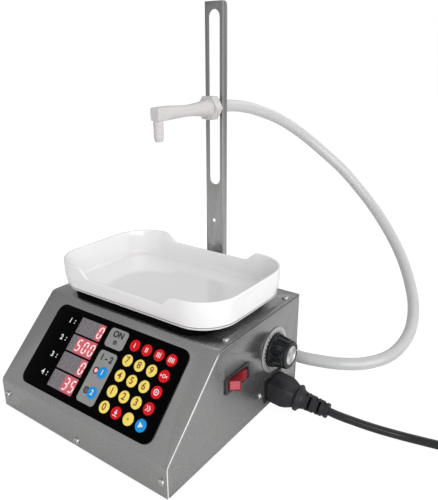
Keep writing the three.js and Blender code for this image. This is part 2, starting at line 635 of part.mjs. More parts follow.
// Speed control: dial plate, potentiometer and fluted knob
{
  const dial = { radius: 20.2, thickness: 0.5, hole: 4.2 };
  const pot = { radius: 8.4, depth: 11, bushing: 3.6, shaft: 3, shaftOut: 11 };
  const knob = {
    skirt: 14.9, front: 12.1, cap: 8, height: 15.4, flutes: 10, turn: 0.67, flute: 1.2, lip: 2, rim: 2.6, boreGap: 0.3,
    boreDepth: 11.5, standsOff: 0.5, capRise: 0.4,
  };
  const at = (x) => [x, knobPlace.y, knobPlace.z];
  const dialX = sideX + gap;
  add('dial_plate', cut(rod(dial.radius, 'x', at(dialX), dial.thickness, 32),
    rod(dial.hole, 'x', at(dialX - overrun), dial.thickness + 2 * overrun, 12)), 'grey');
  const potX = insideX - gap;
  const bushingEnd = dialX + dial.thickness;
  add('potentiometer', join(
    rod(pot.radius, 'x', at(potX - pot.depth), pot.depth, 16),
    rod(pot.bushing, 'x', at(potX - overrun), bushingEnd + overrun - potX, 12),
    rod(pot.shaft, 'x', at(potX - overrun), bushingEnd + pot.shaftOut + overrun - potX, 12)), 'aluminium');

  const knobX = bushingEnd + knob.standsOff;
  // Round one flute: a narrow ridge, then a broad hollow. Each is an angle's share and whether it is sunk.
  const fluteShares = [[0, 0], [0.16, 0], [0.3, 1], [0.86, 1]];
  const count = fluteShares.length * knob.flutes;
  const knobRing = (x, radius, depth) => {
    const points = [];
    for (let i = 0; i < count; i += 1) {
      const [share, sunk] = fluteShares[i % fluteShares.length];
      const angle = (2 * Math.PI * (Math.floor(i / fluteShares.length) + share + knob.turn)) / knob.flutes;
      const r = radius - sunk * depth;
      points.push(new THREE.Vector3(x, knobPlace.y + r * Math.cos(angle), knobPlace.z + r * Math.sin(angle)));
    }
    return points;
  };
  const grip = loft([
    knobRing(knobX, knob.skirt, 0), knobRing(knobX + knob.lip, knob.skirt, 0),
    knobRing(knobX + knob.lip, knob.skirt - knob.flute / 2, knob.flute),
    knobRing(knobX + knob.height - knob.rim, knob.front + 0.2, knob.flute),
    knobRing(knobX + knob.height - knob.rim, knob.front + 0.2, 0),
    knobRing(knobX + knob.height, knob.front, 0)]);
  const capStart = knobX + knob.height - overrun;
  add('speed_knob', cut(
    join(grip, rod(knob.cap, 'x', at(capStart), overrun + knob.capRise, 24)),
    rod(pot.shaft + knob.boreGap, 'x', at(knobX - overrun), overrun + knob.boreDepth + knob.standsOff, 12),
    rod(pot.bushing + knob.boreGap, 'x', at(knobX - overrun), overrun + knob.standsOff, 12)), 'black');
}

// Power supply and control board on the floor
{
  const inside = 2 * insideX;
  const supply = { left: -insideX + 4, right: -insideX + 0.53 * inside, front: 20, rearSpace: 102, height: 27 };
  const supplyBack = bodyDepth - supply.rearSpace;
  const standoff = 3;
  add('power_supply', join(
    block([supply.left, supply.front, floorZ + standoff], [supply.right, supplyBack, floorZ + supply.height]),
    block([supply.left, supply.front, floorZ], [supply.left + 2 * standoff, supplyBack, floorZ + 2 * standoff]),
    block([supply.right - 2 * standoff, supply.front, floorZ], [supply.right, supplyBack, floorZ + 2 * standoff]),
  ), 'aluminium');

  const board = { left: supply.right + 8, right: insideX - 4, front: 22, rearSpace: 82, z: floorZ + 9, thickness: 1.6 };
  const boardBack = bodyDepth - board.rearSpace;
  const [width, depth] = [board.right - board.left, boardBack - board.front];
  const boardTop = board.z + board.thickness;
  const part = ([x0, y0, x1, y1], height) => block(
    [board.left + x0 * width, board.front + y0 * depth, board.z + board.thickness / 2],
    [board.left + x1 * width, board.front + y1 * depth, boardTop + height]);
  const pieces = [block([board.left, board.front, board.z], [board.right, boardBack, boardTop])];
  const partShares = [
    [[0.08, 0.1, 0.3, 0.4], 6], [[0.4, 0.1, 0.62, 0.24], 9], [[0.1, 0.55, 0.4, 0.75], 14],
    [[0.55, 0.45, 0.9, 0.6], 11], [[0.6, 0.72, 0.85, 0.92], 16],
  ];
  for (const [shares, height] of partShares) pieces.push(part(shares, height));
  for (const x of [board.left + standoff, board.right - standoff]) {
    for (const y of [board.front + standoff, boardBack - standoff]) {
      pieces.push(rod(standoff, 'z', [x, y, floorZ], board.z + board.thickness / 2 - floorZ, 8));
    }
  }
  add('control_board', join(...pieces), 'board');
}

// Hose fittings, pump and the tube that runs between them
{
  const fitting = { flange: 7.4, flangeThickness: 4, thread: 4.9, barb: 2.5, ridge: 2.75, inside: 9, outside: 8 };
  const fittingBody = (axis, wall, place, outwards) => {
    const { flange, flangeThickness, thread, barb, ridge } = fitting;
    const start = -fitting.inside;
    const out = wall + gap + flangeThickness;
    const piece = join(
      rod(thread, 'z', [0, 0, start], wall + gap + fitting.inside, 12),
      rod(flange, 'z', [0, 0, wall + gap], flangeThickness, 6),
      turning([[0, wall], [barb, wall], [barb, out + 3], [ridge, out + 3.5], [barb, out + 6], [ridge, out + 6.5],
        [0.8 * barb, out + outwards], [0, out + outwards]], 'z', [0, 0, 0], 10));
    return turned[axis](piece).translate(...place);
  };
  const outletStart = insideX;
  add('outlet_barb', fittingBody('x', sheet, [outletStart, outletPlace.y, outletPlace.z], fitting.outside), 'nylon');
  const inletPort = { x: sideX / 2, z: bottomZ + 27 };
  add('inlet_barb', fittingBody('y', sheet, [inletPort.x, bodyDepth - sheet, inletPort.z], fitting.outside), 'nylon');

  // Pump: rollers on a rotor press the tube against a round wall
  const pump = {
    x: -sideX + 42, y: bodyDepth - 34, z: bottomZ + 41, tubeRadius: 4, bend: 22, half: 32, halfHigh: 31,
    depth: 20, backWall: 4, lid: 3, discRadius: 14.5, disc: 2, roller: 5, pin: 1.5, hub: 5,
    shaft: 2.5, rollers: 3,
  };
  const orbit = pump.bend - pump.tubeRadius - gap - pump.roller;
  const wallRadius = pump.bend + pump.tubeRadius + gap;
  const housingFront = pump.y + pump.depth / 2;
  const pocketY = pump.y - pump.depth / 2;
  const housingBack = pocketY - pump.backWall;
  const [left, right] = [pump.x - pump.half, pump.x + pump.half];
  const axle = (y) => [pump.x, y, pump.z];
  const shaftHole = pump.shaft + 2 * gap;
  add('pump_housing', cut(
    join(
      block([left, housingBack, pump.z - pump.halfHigh], [right, housingFront, pump.z + pump.halfHigh]),
      block([left, housingBack, floorZ], [right, housingBack + pump.backWall, pump.z])),
    rod(wallRadius, 'y', axle(pocketY), pump.depth + overrun, 32),
    block([pump.x, pocketY, pump.z - wallRadius], [right + overrun, pocketY + pump.depth + overrun, pump.z + wallRadius]),
    rod(shaftHole, 'y', axle(housingBack - overrun), pump.backWall + 2 * overrun, 12)), 'white');
  add('pump_cover', block([left, housingFront + gap, pump.z - pump.halfHigh],
    [right, housingFront + gap + pump.lid, pump.z + pump.halfHigh]), 'grey');

  const motor = { radius: 18.5, gearbox: 20, canRadius: 16, length: 46 };
  const motorY = housingBack - gap;
  add('pump_motor', turning([
    [0, 0], [motor.canRadius, 0], [motor.canRadius, motor.length - motor.gearbox],
    [motor.radius, motor.length - motor.gearbox], [motor.radius, motor.length],
    [pump.shaft, motor.length], [pump.shaft, motor.length + pump.backWall + pump.depth / 2],
    [0, motor.length + pump.backWall + pump.depth / 2]], 'y', axle(motorY - motor.length), 20), 'aluminium');

  const rollerLength = pump.depth - 2 * pump.disc - 4 * gap - overrun;
  const rotorStart = pump.y - rollerLength / 2 - gap - pump.disc;
  const rotorEnd = pump.y + rollerLength / 2 + gap;
  const rotorParts = [
    rod(pump.discRadius, 'y', axle(rotorStart), pump.disc, 24),
    rod(pump.discRadius, 'y', axle(rotorEnd), pump.disc, 24),
    rod(pump.hub, 'y', axle(rotorStart), rotorEnd + pump.disc - rotorStart, 16)];
  for (let i = 0; i < pump.rollers; i += 1) {
    const angle = (2 * Math.PI * i) / pump.rollers + Math.PI / 2;
    const [x, z] = [pump.x + orbit * Math.cos(angle), pump.z + orbit * Math.sin(angle)];
    rotorParts.push(rod(pump.pin, 'y', [x, rotorStart, z], rotorEnd + pump.disc - rotorStart, 8));
    add(`pump_roller_${i + 1}`, cut(
      rod(pump.roller, 'y', [x, pump.y - rollerLength / 2, z], rollerLength, 16),
      rod(pump.pin + gap, 'y', [x, pump.y - rollerLength / 2 - overrun, z], rollerLength + 2 * overrun, 8)), 'nylon');
  }
  const shaftEnd = motorY + pump.backWall + pump.depth / 2;
  add('pump_rotor', cut(join(...rotorParts),
    rod(pump.shaft + gap, 'y', axle(rotorStart - overrun), shaftEnd + gap + overrun - rotorStart, 12)), 'grey');

  // The pump tube, from the inlet fitting, round the rollers, to the outlet fitting
  const line = [];
  const inletY = bodyDepth - sheet - fitting.inside - gap;
  const outletX = insideX - fitting.inside - gap;
  const [lowZ, highZ] = [pump.z - pump.bend, pump.z + pump.bend];
  line.push([inletPort.x, inletY, inletPort.z], [inletPort.x, inletY - 8, inletPort.z]);
  line.push([inletPort.x - 0.3 * (inletPort.x - right), pump.y + 6, inletPort.z - 2]);
  line.push([right + 12, pump.y, lowZ + 0.5], [right, pump.y, lowZ], [pump.x + 0.5 * pump.half, pump.y, lowZ]);
  const bendSteps = 8;
  for (let i = 0; i <= bendSteps; i += 1) {
    const angle = -Math.PI / 2 - (Math.PI * i) / bendSteps;
    line.push([pump.x + pump.bend * Math.cos(angle), pump.y, pump.z + pump.bend * Math.sin(angle)]);
  }
  line.push([pump.x + 0.5 * pump.half, pump.y, highZ], [right, pump.y, highZ], [right + 12, pump.y, highZ - 0.5]);
  line.push([right + 0.55 * (outletX - right), 0.5 * (pump.y + outletPlace.y), highZ - 0.4 * (highZ - outletPlace.z)]);
  line.push([outletX - 9, outletPlace.y, outletPlace.z], [outletX, outletPlace.y, outletPlace.z]);
  add('pump_tube', tubeAlong(line, pump.tubeRadius, 8, 64), 'silicone');
}

// Upright bar: a slotted strip with one edge folded back, bolted to the rear panel
const bar = { halfWidth: 9.5, thickness: 1.5, flange: 6.4, bottom: 28, slotHalf: 6, slotLow: 178.5, slotHigh: 329.3 };
const barY = bodyDepth + gap;
{
  const hole = { radius: 2, x: -1.1, z: 143.3 };
  const fixing = { radius: 2.2, zs: [bar.bottom + 12, bar.bottom + 42] };
  const round = 4;
  const barBack = barY + bar.thickness;
  const face = block([-bar.halfWidth, barY, bar.bottom], [bar.halfWidth, barBack, barTop]);
  const flangeOutline = [[barY, bar.bottom], [barY + bar.flange, bar.bottom]];
  const roundSteps = 4;
  for (let i = 0; i <= roundSteps; i += 1) {
    const angle = (i / roundSteps) * (Math.PI / 2);
    flangeOutline.push([barY + bar.flange - round + round * Math.cos(angle), barTop - round + round * Math.sin(angle)]);
  }
  flangeOutline.push([barY, barTop]);
  const slotMiddle = (bar.slotLow + bar.slotHigh) / 2;
  const slotStraight = (bar.slotHigh - bar.slotLow) / 2 - bar.slotHalf;
  const slot = [];
  const slotSteps = 8;
  for (const end of [1, -1]) {
    for (let i = 0; i <= slotSteps; i += 1) {
      const angle = (end > 0 ? 0 : Math.PI) + (i / slotSteps) * Math.PI;
      slot.push([bar.slotHalf * Math.cos(angle), slotMiddle + end * slotStraight + bar.slotHalf * Math.sin(angle)]);
    }
  }
  const through = bar.thickness + 2 * overrun;
  const tools = [frontView(slot, barY - overrun, barBack + overrun),
    rod(hole.radius, 'y', [hole.x, barY - overrun, hole.z], through, 10),
    ...fixing.zs.map((z) => rod(fixing.radius, 'y', [0, barY - overrun, z], through, 10))];
  add('upright_bar', cut(
    join(face, sideView(flangeOutline, bar.halfWidth - bar.thickness, bar.halfWidth)), ...tools), 'steel');
}

// Nozzle: an elbow clamped in the slot by a lock nut behind the bar
{
  const arm = { overhang: 4.3, sides: 16 };
  const hexFlange = { radius: 11.5, thickness: 8.2 };
  const shoulder = { radius: 9, thickness: 2.2 };
  const stem = { radius: bar.slotHalf - 0.5, thread: 4.5 };
  const nut = { radius: 7.5, thickness: 5 };
  const spout = { y: 109.4, radius: 4.35, root: 3.9, tip: 3.5, bottom: 227, ridges: 4, bore: 2.3 };
  const rear = { radius: 2.9, length: 10 };
  const hexY = barY - gap - shoulder.thickness - hexFlange.thickness;
  const nutY = barY + bar.thickness + gap;
  const nutEnd = nutY + nut.thickness;
  // The arm's sections: share of its length, of its radius across and up, and how round it is.
  const armRing = (y, across, up, round) => ring(1, arm.sides, (u, v) => {
    const reach = round + (1 - round) / Math.max(Math.abs(u), Math.abs(v));
    return new THREE.Vector3(u * reach * across, y, nozzleZ + v * reach * up);
  }, Math.PI / arm.sides);
  const armTipY = spout.y - arm.overhang;
  const armSpan = hexY - armTipY;
  const armShares = [[0, 0.82, 0.97, 0.15], [0.01, 0.88, 1.02, 0.15], [0.12, 0.89, 1.06, 0.2],
    [0.2, 0.98, 1.09, 0.8], [0.31, 1, 1.04, 1], [0.52, 0.92, 0.92, 1], [0.62, 0.905, 0.905, 1],
    [0.72, 0.99, 0.99, 1], [0.84, 1.15, 1.15, 1], [0.93, 1.33, 1.33, 1], [1.01, 1.46, 1.46, 1]];
  const armRadius = 5.3;
  const body = loft(armShares.map(([along, across, up, round]) => armRing(
    armTipY + along * armSpan, armRadius * across, armRadius * up, round)).reverse());
  const spoutLength = nozzleZ - spout.bottom;
  const ridgeStart = 0.3 * spoutLength;
  const ridgePitch = (spoutLength - ridgeStart) / (spout.ridges + 0.5);
  const spoutProfile = [[0, 0], [spout.root * 0.8, 0], [spout.tip, ridgePitch * 0.5]];
  for (let i = 0; i < spout.ridges; i += 1) {
    const z = ridgePitch * (0.5 + i);
    spoutProfile.push([spout.radius - 0.08 * (spout.ridges - 1 - i), z + 0.7 * ridgePitch]);
    spoutProfile.push([spout.root, z + ridgePitch]);
  }
  spoutProfile.push([spout.root, spoutLength], [0, spoutLength]);
  const elbow = join(
    body,
    turning(spoutProfile, 'z', [0, spout.y, spout.bottom], 12),
    rod(hexFlange.radius, 'y', [0, hexY, nozzleZ], hexFlange.thickness, 6),
    rod(shoulder.radius, 'y', [0, hexY, nozzleZ], hexFlange.thickness + shoulder.thickness, 16),
    rod(stem.radius, 'y', [0, hexY, nozzleZ], barY + bar.thickness - hexY, 14),
    rod(stem.thread, 'y', [0, hexY, nozzleZ], nutEnd + gap - hexY, 12),
    rod(rear.radius, 'y', [0, hexY, nozzleZ], nutEnd + rear.length - hexY, 10));
  add('nozzle_elbow', cut(elbow,
    rod(spout.bore, 'z', [0, spout.y, spout.bottom - overrun], spoutLength + overrun, 8),
    rod(spout.bore, 'y', [0, spout.y, nozzleZ], nutEnd + rear.length + overrun - spout.y, 8)), 'nylon');
  add('nozzle_lock_nut', cut(
    rod(nut.radius, 'y', [0, nutY, nozzleZ], nut.thickness, 6),
    rod(stem.thread + gap, 'y', [0, nutY - overrun, nozzleZ], nut.thickness + 2 * overrun, 14)), 'nylon');
}

// Delivery hose, from the nozzle's rear barb over the back of the machine to the outlet fitting
const hoseRadius = 5.4;
const hoseBore = 3.4;
const hoseRoute = [
  [0, 191.6, 248.7], [0, 201, 248.7], [0.4, 214, 248.1], [1.4, 230.6, 245.9], [3.9, 249.4, 241.8],
  [13.1, 281.9, 229.9], [26.3, 306.8, 213.4], [42.5, 324.2, 194.7], [61.5, 335.5, 175.6], [81.3, 340, 155.2],
  [101.8, 338.5, 135.1], [121.9, 330.8, 115.4], [140.9, 317.2, 96.7], [157.5, 297.8, 79.3],
  [170.9, 273.2, 63.8], [177.2, 243.4, 50.6], [172.3, 213.5, 41.7], [157.7, 192, 38.6], [139.1, 178.7, 38.1],
  [118.5, 171.4, 38], [108, 169.6, 37.7], [98.8, 169.5, 37.7],
];
add('delivery_hose', tubeAlong(hoseRoute, hoseRadius, 10, 32, hoseBore, 10), 'silicone');

// Mains lead: the stretch in the view, the coil past the edge of the view and the plug
const cordRoute = [
  ...cordStart, [168.6, 147.5, 9.6], [181, 151.3, 7.4],
  [193.5, 155.5, 5.6], [205, 159.5, 4.2], [217.5, 163, 3.6], [232, 166.4, 3.5],
  [247, 169.6, 3.5], [261, 172.4, 3.5], [276, 175.4, 3.5],
];
add('mains_cord', tubeAlong(cordRoute, cordRadius, 10, 10), 'cord');

// The coil winds inwards on the floor, climbs a layer in half a turn and winds outwards again
const coil = {
  middle: 38.5, pitch: 7.7, rise: 7.7, turnsShare: 2.375, climbShare: 0.5, stepsPerTurn: 24, sides: 6, tail: 7,
};
{
  const last = new THREE.Vector3(...cordRoute.at(-1));
  const heading = last.clone().sub(new THREE.Vector3(...cordRoute.at(-2))).setZ(0).normalize();
  const total = 2 * coil.turnsShare + coil.climbShare;
  const outer = coil.middle + (coil.pitch * total) / 4;
  const toCentre = new THREE.Vector3(-heading.y, heading.x, 0);
  const entry = last.clone().addScaledVector(heading, gap + coil.tail);
  const centre = entry.clone().addScaledVector(toCentre, outer);
  const startAngle = Math.atan2(-toCentre.y, -toCentre.x);
  const at = (turn) => {
    const climbed = THREE.MathUtils.smoothstep(turn, coil.turnsShare, coil.turnsShare + coil.climbShare);
    const inwards = Math.min(turn, total / 2);
    const outwards = Math.max(0, turn - total / 2);
    const radius = outer - coil.pitch * inwards + coil.pitch * outwards;
    const angle = startAngle + 2 * Math.PI * turn;
    return new THREE.Vector3(centre.x + radius * Math.cos(angle), centre.y + radius * Math.sin(angle),
      cordRadius + coil.rise * climbed);
  };
  const line = [last.clone().addScaledVector(heading, gap)];
  const steps = Math.round(total * coil.stepsPerTurn);
  for (let i = 0; i <= steps; i += 1) line.push(at((total * i) / steps));
  const leaving = line.at(-1).clone().sub(line.at(-2)).setZ(0).normalize();
  line.push(line.at(-1).clone().addScaledVector(leaving, coil.tail));

  // The tube's rings stand square to the line, each turned no more than the line itself turns
  const up = new THREE.Vector3(0, 0, 1);
  const rings = line.map((point, i) => {
    const ahead = line[Math.min(i + 1, line.length - 1)];
    const behind = line[Math.max(i - 1, 0)];
    const along = ahead.clone().sub(behind).normalize();
    const side = new THREE.Vector3().crossVectors(along, up).normalize();
    const over = new THREE.Vector3().crossVectors(side, along);
    return ring(cordRadius, coil.sides, (u, v) => point.clone().addScaledVector(side, u)
      .addScaledVector(over, v), Math.PI / 2);
  });
  const coilSolid = loft(rings.reverse());
  add('cord_coil', coilSolid, 'cord');

  let least = Infinity;
  const far = Math.round(coil.stepsPerTurn / 2);
  for (let i = 0; i < line.length; i += 1) {
    for (let j = i + far; j < line.length; j += 1) {
      least = Math.min(least, line[i].distanceTo(line[j]) - 2 * cordRadius);
    }
  }
  console.log(`The coil's least gap to itself is ${least.toFixed(2)} mm`);

  // Plug: a moulded body with two flat blades and a round earth pin, lying beside the coil
  const plug = {
    relief: 5.2, reliefLength: 20, body: 34, halfWidth: 12.5, halfHeight: 11, back: 8, blade: 17,
    bladeHalfWidth: 0.75, bladeHalfHeight: 3.1, spread: 6.3, pin: 2.4, pinLength: 20, pinDrop: 5.5,
  };
  const start = line.at(-1).clone().addScaledVector(leaving, gap);
  const plugRing = (distance, halfWidth, halfHeight, round) => ring(1, 16, (u, v) => {
    const square = Math.max(Math.abs(u), Math.abs(v));
    const reach = round + (1 - round) / square;
    return new THREE.Vector3(u * reach * halfWidth, v * reach * halfHeight, distance);
  }, Math.PI / 16);
  const bodyStart = plug.reliefLength;
  const bodyEnd = bodyStart + plug.body;
  const shell = loft([
    plugRing(0, cordRadius + gap, cordRadius + gap, 1), plugRing(bodyStart, plug.relief, plug.relief, 1),
    plugRing(bodyStart + plug.body / 4, plug.halfWidth * 0.92, plug.halfHeight * 0.95, 0.5),
    plugRing(bodyEnd - plug.back, plug.halfWidth, plug.halfHeight, 0.35),
    plugRing(bodyEnd, plug.halfWidth, plug.halfHeight, 0.35)]);
  const bladeAt = (x) => block([x - plug.bladeHalfWidth, -plug.bladeHalfHeight + 2.5, bodyEnd - overrun],
    [x + plug.bladeHalfWidth, plug.bladeHalfHeight + 2.5, bodyEnd + plug.blade]);
  const solid = join(shell, bladeAt(-plug.spread), bladeAt(plug.spread),
    rod(plug.pin, 'z', [0, -plug.pinDrop, bodyEnd - overrun], overrun + plug.pinLength, 8));
  const across = new THREE.Vector3().crossVectors(up, leaving);
  solid.applyMatrix4(new THREE.Matrix4().makeBasis(across, up, leaving)
    .setPosition(start.x, start.y, start.z));
  add('mains_plug', solid, 'cord');
}

// The origin is the bottom centre of the machine without its hose and mains lead
{
  const loose = ['delivery_hose', 'mains_cord', 'cord_coil', 'mains_plug', 'cord_connector'];
  group.updateMatrixWorld(true);
  const box = new THREE.Box3();
  group.traverse((object) => {
    if (object.isMesh && !loose.includes(object.name)) box.expandByObject(object, true);
  });
  const middle = box.getCenter(new THREE.Vector3());
  group.position.set(-middle.x, -middle.y, -box.min.z);
}

export default group;
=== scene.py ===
import json
from math import atan2, cos, degrees, pi, radians, sin, sqrt, tan

import bmesh
import bpy
from mathutils import Euler, Matrix, Vector

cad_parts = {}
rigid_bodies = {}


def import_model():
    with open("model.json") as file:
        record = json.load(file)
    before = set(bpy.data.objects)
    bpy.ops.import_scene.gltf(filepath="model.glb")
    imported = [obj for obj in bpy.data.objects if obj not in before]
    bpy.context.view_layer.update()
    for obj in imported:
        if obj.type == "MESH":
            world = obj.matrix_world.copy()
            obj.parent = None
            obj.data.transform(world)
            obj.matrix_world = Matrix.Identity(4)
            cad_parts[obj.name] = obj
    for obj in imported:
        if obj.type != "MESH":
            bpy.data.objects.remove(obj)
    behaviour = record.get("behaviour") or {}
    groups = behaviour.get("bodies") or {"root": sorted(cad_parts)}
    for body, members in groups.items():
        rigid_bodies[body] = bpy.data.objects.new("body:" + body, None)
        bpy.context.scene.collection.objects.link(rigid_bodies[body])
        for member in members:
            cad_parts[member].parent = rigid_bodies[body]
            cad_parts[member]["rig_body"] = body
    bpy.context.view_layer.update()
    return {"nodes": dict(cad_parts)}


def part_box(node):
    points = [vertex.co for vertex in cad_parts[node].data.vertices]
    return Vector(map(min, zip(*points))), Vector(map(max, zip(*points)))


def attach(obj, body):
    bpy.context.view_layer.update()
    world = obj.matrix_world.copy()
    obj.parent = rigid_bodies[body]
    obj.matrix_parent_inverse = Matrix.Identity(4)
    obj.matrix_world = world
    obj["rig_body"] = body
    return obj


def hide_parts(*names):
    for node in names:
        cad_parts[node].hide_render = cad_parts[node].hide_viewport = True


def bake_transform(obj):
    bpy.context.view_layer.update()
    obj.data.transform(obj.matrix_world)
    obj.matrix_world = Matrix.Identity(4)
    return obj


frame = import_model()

# Camera. It stands to the right of the front and a little above the tray, as in the photograph, with
# the top of the bar and the front corner of the case at the edges of the frame.
FRAME_HEIGHT_PX, FOCAL_PX = 500, 540.51
scene = bpy.context.scene


def add_object(name, data):
    """A new object in the scene."""
    made = bpy.data.objects.new(name, data)
    scene.collection.objects.link(made)
    return made


camera = add_object("camera", bpy.data.cameras.new("camera"))
camera.data.sensor_fit, camera.data.sensor_height, camera.data.clip_start = "VERTICAL", 36, 0.01
camera.data.lens = FOCAL_PX / FRAME_HEIGHT_PX * camera.data.sensor_height
camera.matrix_world = (
    Matrix.Translation((0.28604, -0.31754, 0.29162))
    @ Euler((radians(70.278), 0, radians(35.8225))).to_matrix().to_4x4() @ Matrix.Rotation(radians(-0.1124), 4, "Z"))
scene.camera = camera
scene.view_settings.view_transform = "Standard"


# Mains lead. A round black lead with a soft plastic sheath, 7 mm thick and 1.42 m long. It leaves
# the ribbed end of its connector, sinks to the table and lies in a flat double coil past the edge of
# the view, where it ends in a moulded plug.
CASE_LOW, CASE_HIGH = (Vector(corner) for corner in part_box("cover"))
CASE_FRONT_MIDDLE = Vector(((CASE_LOW.x + CASE_HIGH.x) / 2, CASE_LOW.y, 0))


def place(across, back, up):
    """A point in millimetres from the front middle of the case, on the table, as a place in the frame."""
    return CASE_FRONT_MIDDLE + Vector((across, back, up)) / 1000


def feed(target, *values, **named):
    """Gives values to a node's inputs, in order or by name. A node or socket among them is joined on."""
    usable = [socket for socket in target.inputs if socket.enabled]
    pairs = list(zip(usable, values))
    for label, value in named.items():
        pairs.append((next(s for s in usable if s.name.lower() == label.replace("_", " ").lower()), value))
    for socket, value in pairs:
        if isinstance(value, bpy.types.Node):
            value = next(result for result in value.outputs if result.enabled)
        if isinstance(value, bpy.types.NodeSocket):
            target.id_data.links.new(value, socket)
        else:
            socket.default_value = value


def adder(tree):
    """A way to add nodes to a tree: small names set the node's own settings, all else feeds its inputs."""
    def add(kind, *values, **named):
        whole = kind.startswith(("Geometry", "Function", "NodeGroup"))
        added = tree.nodes.new(kind if whole else "ShaderNode" + kind)
        for key in [key for key in named if key.islower()]:
            setattr(added, key, named.pop(key))
        feed(added, *values, **named)
        return added
    return add


def new_group(name, kind, inputs, results):
    """A node group with named inputs and results: the group, its adder and the values it is given."""
    tree = bpy.data.node_groups.new(name, kind)
    for way, sockets in (("INPUT", inputs), ("OUTPUT", results)):
        for label, socket_kind, *value in sockets:
            socket = tree.interface.new_socket(label, in_out=way, socket_type="NodeSocket" + socket_kind)
            if value:
                socket.default_value = value[0]
    add = adder(tree)
    return tree, add, add("NodeGroupInput").outputs


def new_material(name):
    """A material with only its shader, and its adder."""
    made = bpy.data.materials.new(name)
    made.use_nodes = True
    return made, adder(made.node_tree), made.node_tree.nodes["Principled BSDF"]


def object_place(add, stretch=(1, 1, 1)):
    """The piece's own coordinates, drawn out along its grain."""
    return add("Mapping", add("TexCoord").outputs["Object"], Scale=stretch)


# Fine surface grain: roughness that varies between two values, a bumped normal and a slow drift.
SURFACE_GRAIN, add, given = new_group("surface_grain", "ShaderNodeTree", (
    ("Place", "Vector"), ("Scale", "Float", 900.0), ("Smooth", "Float", 0.3), ("Rough", "Float", 0.4),
    ("Height", "Float", 0.00001), ("Strength", "Float", 0.3)),
    (("Roughness", "Float"), ("Normal", "Vector"), ("Cloud", "Float")))
fine = add("TexNoise", Vector=given["Place"], Scale=given["Scale"], Detail=3.0, Roughness=0.6)
cloud = add("TexNoise", Vector=given["Place"], Scale=add("Math", given["Scale"], 0.03, operation="MULTIPLY"),
            Detail=4.0, Roughness=0.55)
spread = add("MapRange", add("Math", fine, cloud, operation="ADD"), From_Min=0.7, From_Max=1.3,
             To_Min=given["Smooth"], To_Max=given["Rough"])
bump = add("Bump", Strength=given["Strength"], Distance=given["Height"], Height=fine)
add("NodeGroupOutput", spread, bump, cloud)

# Edge wear and painted edge highlight: a mask where the rounded normal leans away from the true one, broken into
# patches.
EDGE_WEAR_AND_HIGHLIGHT, add, given = new_group("edge_wear_and_highlight", "ShaderNodeTree", (
    ("Place", "Vector"), ("Radius", "Float", 0.0006), ("Amount", "Float", 0.5)), (("Wear", "Float"),))
lean = add("VectorMath", add("Bevel", given["Radius"], samples=4), add("NewGeometry").outputs["Normal"],
           operation="DOT_PRODUCT")
edge = add("MapRange", lean, From_Min=0.97, From_Max=0.8)
patch = add("MapRange", add("TexNoise", given["Place"], Scale=160.0, Detail=3.0), From_Min=0.42, From_Max=0.6)
edge_light_and_wear = add("Math", edge, patch, operation="MULTIPLY")
add("NodeGroupOutput", add("Math", edge_light_and_wear, given["Amount"], operation="MULTIPLY", use_clamp=True))


def shade(value):
    """A colour from its three parts or from one grey value."""
    return (*(value if isinstance(value, tuple) else (value,) * 3), 1)


def finish(name, dark, light, smooth, rough, grain=900, height=10, strength=0.3, stretch=(1, 1, 1), edge_light_and_wear=None,
           wear=0.0, painted_shade_above=None, **shader_values):
    """A finish whose colour drifts between two shades, with grain in its gloss (height in micrometres) and edges
    that turn another colour, partly as wear and partly as painted highlight. painted_shade_above gives two
    heights between which it darkens as painted shade, how far, and that darker colour."""
    made, add, shader = new_material(name)
    spot = object_place(add, stretch)
    surface = add("Group", spot, grain, smooth, rough, height / 1e6, strength, node_tree=SURFACE_GRAIN)
    colour = add("Mix", surface.outputs["Cloud"], shade(dark), shade(light), data_type="RGBA")
    if edge_light_and_wear:
        lit_and_worn_edges = add("Group", spot, Amount=wear, node_tree=EDGE_WEAR_AND_HIGHLIGHT)
        colour = add("Mix", lit_and_worn_edges, colour, shade(edge_light_and_wear), data_type="RGBA")
    if painted_shade_above:
        start, end, most, above = painted_shade_above
        share = add("MapRange", add("SeparateXYZ", object_place(add)).outputs["Z"], From_Min=start, From_Max=end,
                    To_Max=most)
        colour = add("Mix", share, colour, shade(above), data_type="RGBA")
    feed(shader, Base_Color=colour, Roughness=surface, Normal=surface.outputs["Normal"], **shader_values)
    return made


lead_sheath = finish("lead_sheath", (0.005, 0.0055, 0.007), (0.010, 0.0105, 0.013), 0.12, 0.2, 700, 30, 0.1,
                     Specular_IOR_Level=0.5)
LEAD_RADIUS, LEAD_GAP, LEAD_LENGTH = 3.5, 0.3, 1.42
RELIEF_START, RELIEF_LENGTH = Vector((118.4, 140.2, 17.4)), 29.0
RELIEF_LINE = Vector((0.9860, 0.0910, -0.1395)).normalized()
relief_end = RELIEF_START + RELIEF_LINE * RELIEF_LENGTH
lead_route = [relief_end, relief_end + RELIEF_LINE * 2 * LEAD_RADIUS] + [Vector(point) for point in (
    (168.6, 147.5, 9.6), (181, 151.3, 7.4), (193.5, 155.5, 5.6), (205, 159.5, 4.2), (217.5, 163, 3.6),
    (232, 166.4, 3.5), (247, 169.6, 3.5), (261, 172.4, 3.5), (276, 175.4, 3.5))]


def flat_way(route):
    """The level direction in which a route ends."""
    return ((route[-1] - route[-2]) * Vector((1, 1, 0))).normalized()


def eased(share):
    """A share that starts and ends softly."""
    return share * share * (3 - 2 * share)


